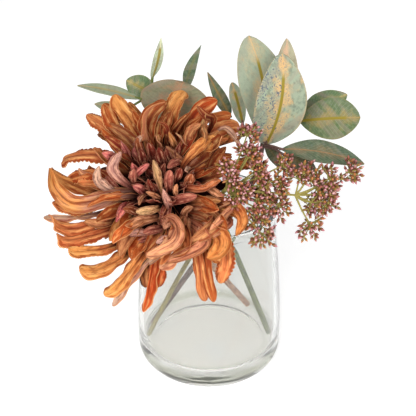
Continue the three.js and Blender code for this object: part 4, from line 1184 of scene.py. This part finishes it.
LEFT_LEAVES = [
    ("olive", (-26, 33.5, 149), (-16, 31.5, 180), 45, (0.2, -0.8, 0.6), 2, 0, 1.15, 0.5, 0, 0.9, 0.2, 0.2),
    ("striped", (-33, 36, 169), (-51, 36, 179), 15, (-0.2, -0.8, 0.55), 1, 0, 1.1, 0.6, 0, 0.8, 0.3, 0.6),
    ("sage", (-43, 31, 169), (-81, 33, 177), 9, (-0.1, -0.3, 0.95), 2, 0, 0.9, 0.75, 0, 0.2, 0, 0.3),
    ("celadon", (-35, 37, 180), (-29, 37, 206), 7, (0.5, -0.8, 0.1), 2, 0, 0.7, 0.8, 50, 0.2, 0, 0.9),
    ("forest", (-15, 38, 172), (-5, 38, 201), 8, (-0.5, -0.8, 0.1), 3, 0, 0.65, 0.9, -40, 0.05, 0, 0.2),
    ("dark", (13, 32, 157), (-1, 34, 185), 8.5, (-0.3, -0.9, 0.3), 1, 0, 0.7, 0.8, 0, 0.3, 0.1, 0.3),
    ("sage", (-53, 33, 159), (-71, 32, 165), 8, (0, -0.5, 0.85), 1, 0, 0.9, 0.75, 0, 0.2, 0, 0.3),
]
GREEN_BARK_LIGHT = tint(120, 132, 62)
GREEN_BARK_DARK = tint(68, 78, 32)


def leaf_piece(blank, leaf, seed):
    """One leaf laid from its base to its tip."""
    base = np.array(leaf["base"], float)
    chord = np.array(leaf["tip"], float) - base
    lengthways = chord / np.linalg.norm(chord)
    facing = np.array(leaf["face"], float)
    facing = facing - lengthways * (facing @ lengthways)
    facing = facing / np.linalg.norm(facing)
    sideways = np.cross(facing, lengthways)
    corners = corners_of(blank)
    along = corners[:, 0]
    across = corners[:, 1]
    outline = np.sin(np.pi * along ** leaf["widest"]) ** leaf["roundness"]
    half = np.maximum(LEAST_HALF_WIDTH, outline * leaf["width"] / 2)
    arch = (4 * along * (1 - along))[:, None]
    middle = base + along[:, None] * chord + arch * (facing * leaf["bow"] - sideways * leaf["sway"])
    turn = (np.radians(leaf["twist"]) * (along - 0.5))[:, None]
    turned = sideways * np.cos(turn) - facing * np.sin(turn)
    normal = facing * np.cos(turn) + sideways * np.sin(turn)
    side = across * half
    rib = RIB_HEIGHT * leaf["wire"] * np.exp(-((side / RIB_WIDTH) ** 2))
    rib = rib * np.clip((RIB_END - along) / RIB_FADE, 0, 1) * (corners[:, 2] >= UNDER_FACE)
    ripple = 0.03 * half * np.sin(along * 14 + seed * 8 + across * 2) * across**2
    lift = -LEAF_FOLD * half * (1 - np.abs(across)) + ripple + rib
    places = middle + turned * side[:, None] + normal * (lift + corners[:, 2])[:, None]
    near, far = LEAF_FINISHES[leaf["finish"]]
    notes = blade_notes(blank, along, seed, near, far, leaf["blush"], leaf["spots"])
    notes["rib"] = np.stack([np.abs(side), half, np.full(len(side), leaf["wire"])], 1)
    return copy_of(blank, places, notes)


def leaf_material(name):
    """Printed leaf fabric: blush clouds along the midrib, dark speckles, fine side veins."""
    material, shade = new_material(name)
    across, along, under = shade.attribute("lay").parts()
    seed, blush, spots = shade.attribute("marks").parts()
    rib_distance, half, wire_shown = shade.attribute("rib").parts()
    near = shade.attribute("near", "Color")
    far = shade.attribute("far", "Color")
    spot_place = shade.vector(across * half * 0.1, along * 4.5, seed * 23)
    cloud = shade.noise(spot_place, 1.6, 3)
    speck = shade.noise(spot_place, 11, 2)
    mottle = shade.noise(spot_place, 4.5, 4)
    drift = shade.noise(spot_place + 3.7, 2.2, 3)
    patchy = spots * 0.35 + 0.2
    body = (mottle.rising(0.4, 0.7) * 0.2).blend(near, LEAF_UNDERSIDE)
    body = (mottle.rising(0.52, 0.34) * patchy).blend(body, LEAF_PATCH)
    body = (drift.rising(0.46, 0.66) * 0.55).blend(body, LEAF_MAUVE)
    near_rib = abs(across).rising(0.85, 0.0)
    crumble = shade.noise(spot_place, 26, 3).rising(0.38, 0.56)
    warm = (cloud + near_rib * 0.3 - 0.22).rising(0.34, 0.66) * blush * (crumble * 0.75 + 0.25)
    body = warm.blend(body, far)
    body = (abs(across).rising(0.9, 1.0) * 0.3 * blush).blend(body, far)
    left_half = (across + (cloud - 0.5) * 2).rising(-0.5, 0.3)
    dotted = speck.rising(0.5, 0.58) * mottle.rising(0.42, 0.56) * left_half * spots
    body = dotted.blend(body, SPOT_NAVY)
    branch = shade.maths("SINE", (along * 16 - abs(across) * 4) * 6.2832)
    vein = branch.rising(0.9, 1.0) * abs(across).rising(0.98, 0.7)
    body = (vein * 0.3).blend(body, LEAF_UNDERSIDE)
    wire = rib_distance.rising(1.2, 0.6) * along.rising(RIB_END + 0.03, RIB_END - 0.06)
    wire = wire * (1 - under) * wire_shown
    hairline = rib_distance.rising(0.7, 0.1) * 0.5
    body = hairline.blend(body, far)
    body = wire.blend(body, RIB_OLIVE)
    body = (under * 0.4).blend(body, LEAF_UNDERSIDE)
    shade.surface({
        "Base Color": body,
        "Roughness": 0.5 + mottle * 0.25,
        "Normal": shade.bump(mottle * 0.5 - vein * 0.5 - rib_distance.rising(0.6, 0.0) * 0.6, 0.3, 0.0006),
        "Specular IOR Level": 0.3,
    })
    return material


def spray_wood(name, stem_line, twigs, seed):
    """The stem and twigs of a spray in one piece."""
    radii = (LEAF_STEM_RADIUS, LEAF_STEM_RADIUS, LEAF_STEM_RADIUS * 0.8)
    pieces = [rod_piece(stem_blank, stem_line, radii, seed)]
    for index, twig in enumerate(twigs):
        pieces.append(rod_piece(twig_blank, twig, (PETIOLE_RADIUS, PETIOLE_RADIUS * 0.8), seed + index))
    return joined(name, pieces)


def leaf_stalks(leaves):
    """The short stalk of each leaf, sunk a little way into the twig and the midrib."""
    stalks = []
    for _, base, tip, *_ in leaves:
        chord = np.array(tip, float) - base
        lengthways = chord / np.linalg.norm(chord)
        stalks.append([base + lengthways * reach for reach in (-STALK_SINK, STALK_REACH * 0.5, STALK_REACH)])
    return stalks


twig_blank = rod_blank("twig_blank", sides=8, steps=14)
leaf_blank = blade_blank("leaf_blank", LEAF_STATIONS, LEAF_COLUMNS, LEAF_THICKNESS)
leaf_fabric = leaf_material("sage_leaf_print")
left_leaves = joined("left_leaves", [
    leaf_piece(leaf_blank, dict(zip(LEAF_FIELDS, row)), scatter(index + 0.9))
    for index, row in enumerate(LEFT_LEAVES)
])
left_leaves.data.materials.append(leaf_fabric)
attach(left_leaves, "root")
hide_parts("leaf_spray_left")
left_wood = spray_wood("left_stem", LEFT_STEM, LEFT_TWIGS + leaf_stalks(LEFT_LEAVES), seed=3)
left_wood.data.materials.append(bark_material("green_bark", GREEN_BARK_LIGHT, GREEN_BARK_DARK, streaks=8))
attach(left_wood, "root")
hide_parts("leaf_spray_left")

# The right leafy spray
# The same printed leaves, larger, on a purple brown stem that crosses the jar from its left foot.
RIGHT_STEM = [(-39, 6.1, 14.1), (-6, 12, 64), (25, 18, 112), (31, 17, 130), (33, 15, 146)]
RIGHT_TWIGS = [
    [(33, 15, 145), (45, 24, 150), (56, 27, 157)],
    [(33, 15, 145), (38, 10, 147), (44, 6, 147)],
    [(33, 15, 145), (40, 22, 152), (44, 25, 162)],
    [(31, 17, 132), (26, 24, 144), (21, 28, 153)],
    [(33, 15, 144), (40, 12, 144), (45, 9, 142)],
]
RIGHT_LEAVES = [
    ("grey", (34, 16, 146), (23, 16, 216), 29, (-0.25, -0.85, 0.45), 3, 5, 1.3, 0.6, 0, 0.5, 0.1, 1),
    ("grey", (35, 14, 146), (42, 5, 209.5), 31, (0.1, -0.9, 0.4), 4, 4, 0.88, 0.56, 0, 1, 1, 1),
    ("tan", (44, 25, 162), (46, 24, 211), 17, (0.35, -0.85, 0.4), 2, 0, 0.9, 0.7, 0, 1, 0.1, 0.5),
    ("striped", (57, 30, 157), (86, 37, 169), 17, (-0.2, -0.7, 0.7), 3, 0, 0.95, 0.7, 0, 0.6, 0.3, 0),
    ("lime", (56, 26, 156), (92, 17, 163), 27, (0.1, -0.75, 0.65), 3, 0, 1.2, 0.6, 0, 0.7, 0.3, 1),
    ("dark", (44, 6, 147), (94.5, 2, 139), 17, (0, -0.4, 0.92), 5, 0, 1.0, 0.75, 15, 0.3, 0.3, 0),
    ("grey", (21, 28, 153), (14, 28, 181), 9.5, (0.4, -0.85, 0.3), 1, 0, 1.1, 0.5, 0, 0.8, 0.1, 1),
    ("shade", (34, 14, 147), (46, 10, 130), 8, (-0.4, -0.8, 0.3), -1, 0, 1.0, 0.75, 0, 0.1, 0, 0),
    ("shade", (45, 9, 142), (67, 8, 129), 12, (0, -0.6, 0.8), 2, 0, 1.0, 0.75, 0, 0.5, 0.1, 0),
]
PURPLE_BARK_LIGHT = tint(128, 98, 88)
PURPLE_BARK_DARK = tint(72, 46, 40)
right_leaves = joined("right_leaves", [
    leaf_piece(leaf_blank, dict(zip(LEAF_FIELDS, row)), scatter(index + 7.4))
    for index, row in enumerate(RIGHT_LEAVES)
])
right_leaves.data.materials.append(leaf_fabric)
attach(right_leaves, "root")
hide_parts("leaf_spray_right")
right_wood = spray_wood("right_stem", RIGHT_STEM, RIGHT_TWIGS + leaf_stalks(RIGHT_LEAVES), seed=11)
right_wood.data.materials.append(bark_material("purple_bark", PURPLE_BARK_LIGHT, PURPLE_BARK_DARK, streaks=8))
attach(right_wood, "root")
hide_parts("leaf_spray_right")

# The filler
# A green wire stem that forks into thin yellow-green branches. Each ends in a small umbel of moulded
# buds, bronze at the base and pink to rose brown at the tip.
FILLER_STEM_RADIUS = 1.6
FILLER_STEM = [(-40, -6, 15), (-19, -8, 63), (3, -10, 110), (6, -19, 128), (10, -25, 137)]
FILLER_FORK = (10, -25, 137)
FILLER_SECOND_FORK = (51, -22, 131)
BRANCH_RADIUS = 0.65
SIDE_BRANCH_RADIUS = 0.42
SIDE_BRANCHES = 11
UMBEL_OPENING = 1.1
BUDS_ON_A_BRANCH = 5
BUD_OPENING = 0.85
BUD_SIDES = 7
BUD_RINGS = [(0.26, 0.0), (0.3, 0.9), (0.66, 1.4), (0.86, 2.2), (0.74, 3.0), (0.42, 3.8), (0.12, 4.5)]
BUD_LOBE = 0.16
BUD_NECK = 1.2
BRANCH_SAG = np.array([0, 0, -1.2])
FILLER_LINK = [FILLER_FORK, (30, -25, 135), FILLER_SECOND_FORK]
# Centre of each cluster, the fork that it grows from, and its radius
FILLER_CLUSTERS = [
    ((24, -8, 169), FILLER_FORK, 8), ((26, -17, 159), FILLER_FORK, 8), ((31, -22, 148), FILLER_FORK, 7),
    ((14, -30, 148), FILLER_FORK, 4), ((24, -29, 136), FILLER_FORK, 5), ((35, -28, 127), FILLER_FORK, 8),
    ((31, -35, 119), FILLER_FORK, 7), ((34, -44, 113), FILLER_FORK, 8), ((45, -26, 125), FILLER_FORK, 7),
    ((47, -15, 149), FILLER_FORK, 6), ((44, -20, 138), FILLER_FORK, 6),
    ((61, -16, 144), FILLER_SECOND_FORK, 7), ((75, -16, 141), FILLER_SECOND_FORK, 7),
    ((87, -12, 143), FILLER_SECOND_FORK, 6), ((75, -15, 131), FILLER_SECOND_FORK, 7),
    ((64, -20, 123), FILLER_SECOND_FORK, 6), ((72, -20, 122), FILLER_SECOND_FORK, 6),
    ((62, -32, 112), FILLER_SECOND_FORK, 8), ((25, -14, 158), FILLER_FORK, 6),
    ((11, -27, 154), FILLER_FORK, 5), ((31, -16, 147), FILLER_FORK, 6), ((18, -33, 137), FILLER_FORK, 6),
    ((29, -34, 128), FILLER_FORK, 6), ((34, -24, 140), FILLER_FORK, 6),
    ((54, -16, 143), FILLER_SECOND_FORK, 6), ((67, -16, 134), FILLER_SECOND_FORK, 6),
]
BRANCH_LIGHT = tint(170, 158, 82)
BRANCH_DARK = tint(122, 110, 48)
BUD_BRONZES = (tint(118, 74, 26), tint(92, 44, 20), tint(130, 100, 36), tint(114, 60, 30))
BUD_PINKS = (
    tint(196, 132, 136), tint(158, 86, 74), tint(184, 114, 64), tint(214, 166, 164), tint(174, 110, 116),
)
BUD_SPECK = tint(92, 44, 40)


def spread(count, k, opening, turned):
    """The kth of several directions that fan out round +Z, opening wider with k."""
    cosine = 1 - opening * (k + 0.5) / count
    sine = math.sqrt(max(0, 1 - cosine**2))
    angle = math.radians(k * GOLDEN_ANGLE + turned)
    return np.array([sine * math.cos(angle), sine * math.sin(angle), cosine])


def towards(direction):
    """Three rows that turn +Z to the given direction."""
    forward = direction / np.linalg.norm(direction)
    side = np.cross((0.31, 0.2, 0.93) if abs(forward[2]) < 0.9 else (1, 0, 0), forward)
    side = side / np.linalg.norm(side)
    return np.stack([side, np.cross(forward, side), forward])


bud_blank = turned_piece("bud_blank", BUD_RINGS, BUD_SIDES)
bud_upright = corners_of(bud_blank) / MM
bud_angle = np.arctan2(bud_upright[:, 1], bud_upright[:, 0])
lobe = 1 + BUD_LOBE * np.cos(3 * bud_angle) * (bud_upright[:, 2] > BUD_NECK)
bud_upright[:, :2] *= lobe[:, None]
bud_along = bud_upright[:, 2] / bud_upright[:, 2].max()
filler_rods = []
filler_buds = []
for index, (centre, start, radius) in enumerate(FILLER_CLUSTERS):
    centre = np.array(centre, float)
    start = np.array(start, float)
    branch = centre - start
    turned = towards(branch)
    fork = centre - turned[2] * radius * 0.7
    filler_rods.append(([start, (start + fork) / 2 + BRANCH_SAG, fork], BRANCH_RADIUS))
    for k in range(SIDE_BRANCHES):
        draw = index * 31 + k * 3.7
        outward = spread(SIDE_BRANCHES, k, UMBEL_OPENING, 53 * index) @ turned
        end = fork + outward * radius * scatter_between(draw, 0.6, 1.35)
        filler_rods.append(([fork, (fork + end) / 2 + turned[2] * 0.6, end], SIDE_BRANCH_RADIUS))
        local = towards(outward + turned[2] * 0.4)
        for bud in range(BUDS_ON_A_BRANCH):
            seed = draw + bud * 1.31
            way = spread(BUDS_ON_A_BRANCH, bud, BUD_OPENING, 97 * k + 40 * index) @ local
            size = scatter_between(seed + 0.2, 0.8, 1.15)
            foot = end - local[2] * (0.5 + 0.6 * bud)
            places = foot + (bud_upright * size) @ towards(way)
            notes = {
                "lay": np.stack([np.zeros(len(bud_along)), bud_along, np.zeros(len(bud_along))], 1),
                "marks": (scatter(seed), 0, 0),
                "near": BUD_BRONZES[int(scatter(seed + 0.4) * len(BUD_BRONZES))],
                "far": BUD_PINKS[int(scatter(seed + 0.6) * len(BUD_PINKS))],
            }
            filler_buds.append(copy_of(bud_blank, places, notes))
buds = joined("filler_buds", filler_buds, smooth_angle=80)
bud_skin, shade = new_material("bud_bronze_and_pink")
_, bud_height, _ = shade.attribute("lay").parts()
bud_grain = shade.noise(shade.node("ShaderNodeTexCoord", None, None, "Object"), 900, 2)
bud_colour = (bud_height + (bud_grain - 0.5) * 0.3).rising(0.5, 0.8).blend(
    shade.attribute("near", "Color"), shade.attribute("far", "Color"),
)
bud_colour = bud_height.rising(0.28, 0.12).blend(bud_colour, BRANCH_LIGHT)
shade.surface({
    "Base Color": (bud_grain.rising(0.58, 0.7) * 0.5).blend(bud_colour, BUD_SPECK),
    "Roughness": 0.5 + bud_grain * 0.2,
    "Normal": shade.bump(bud_grain, 0.3, 0.0003),
})
buds.data.materials.append(bud_skin)
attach(buds, "root")
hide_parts("filler_spray")

thin_blank = rod_blank("thin_blank", sides=6, steps=6)
filler_rods.append((FILLER_LINK, BRANCH_RADIUS * 1.4))
filler_wood_pieces = [
    rod_piece(stem_blank, FILLER_STEM, (FILLER_STEM_RADIUS, FILLER_STEM_RADIUS * 0.8), 5),
]
for index, (line, radius) in enumerate(filler_rods):
    filler_wood_pieces.append(rod_piece(thin_blank, line, (radius, radius * 0.7), index))
filler_wood = joined("filler_stem", filler_wood_pieces)
filler_wood.data.materials.append(bark_material("branch_green", BRANCH_LIGHT, BRANCH_DARK, streaks=6))
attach(filler_wood, "root")
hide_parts("filler_spray")

for blank in (stem_blank, long_blank, short_blank, twig_blank, leaf_blank, bud_blank, thin_blank):
    bpy.data.objects.remove(blank)
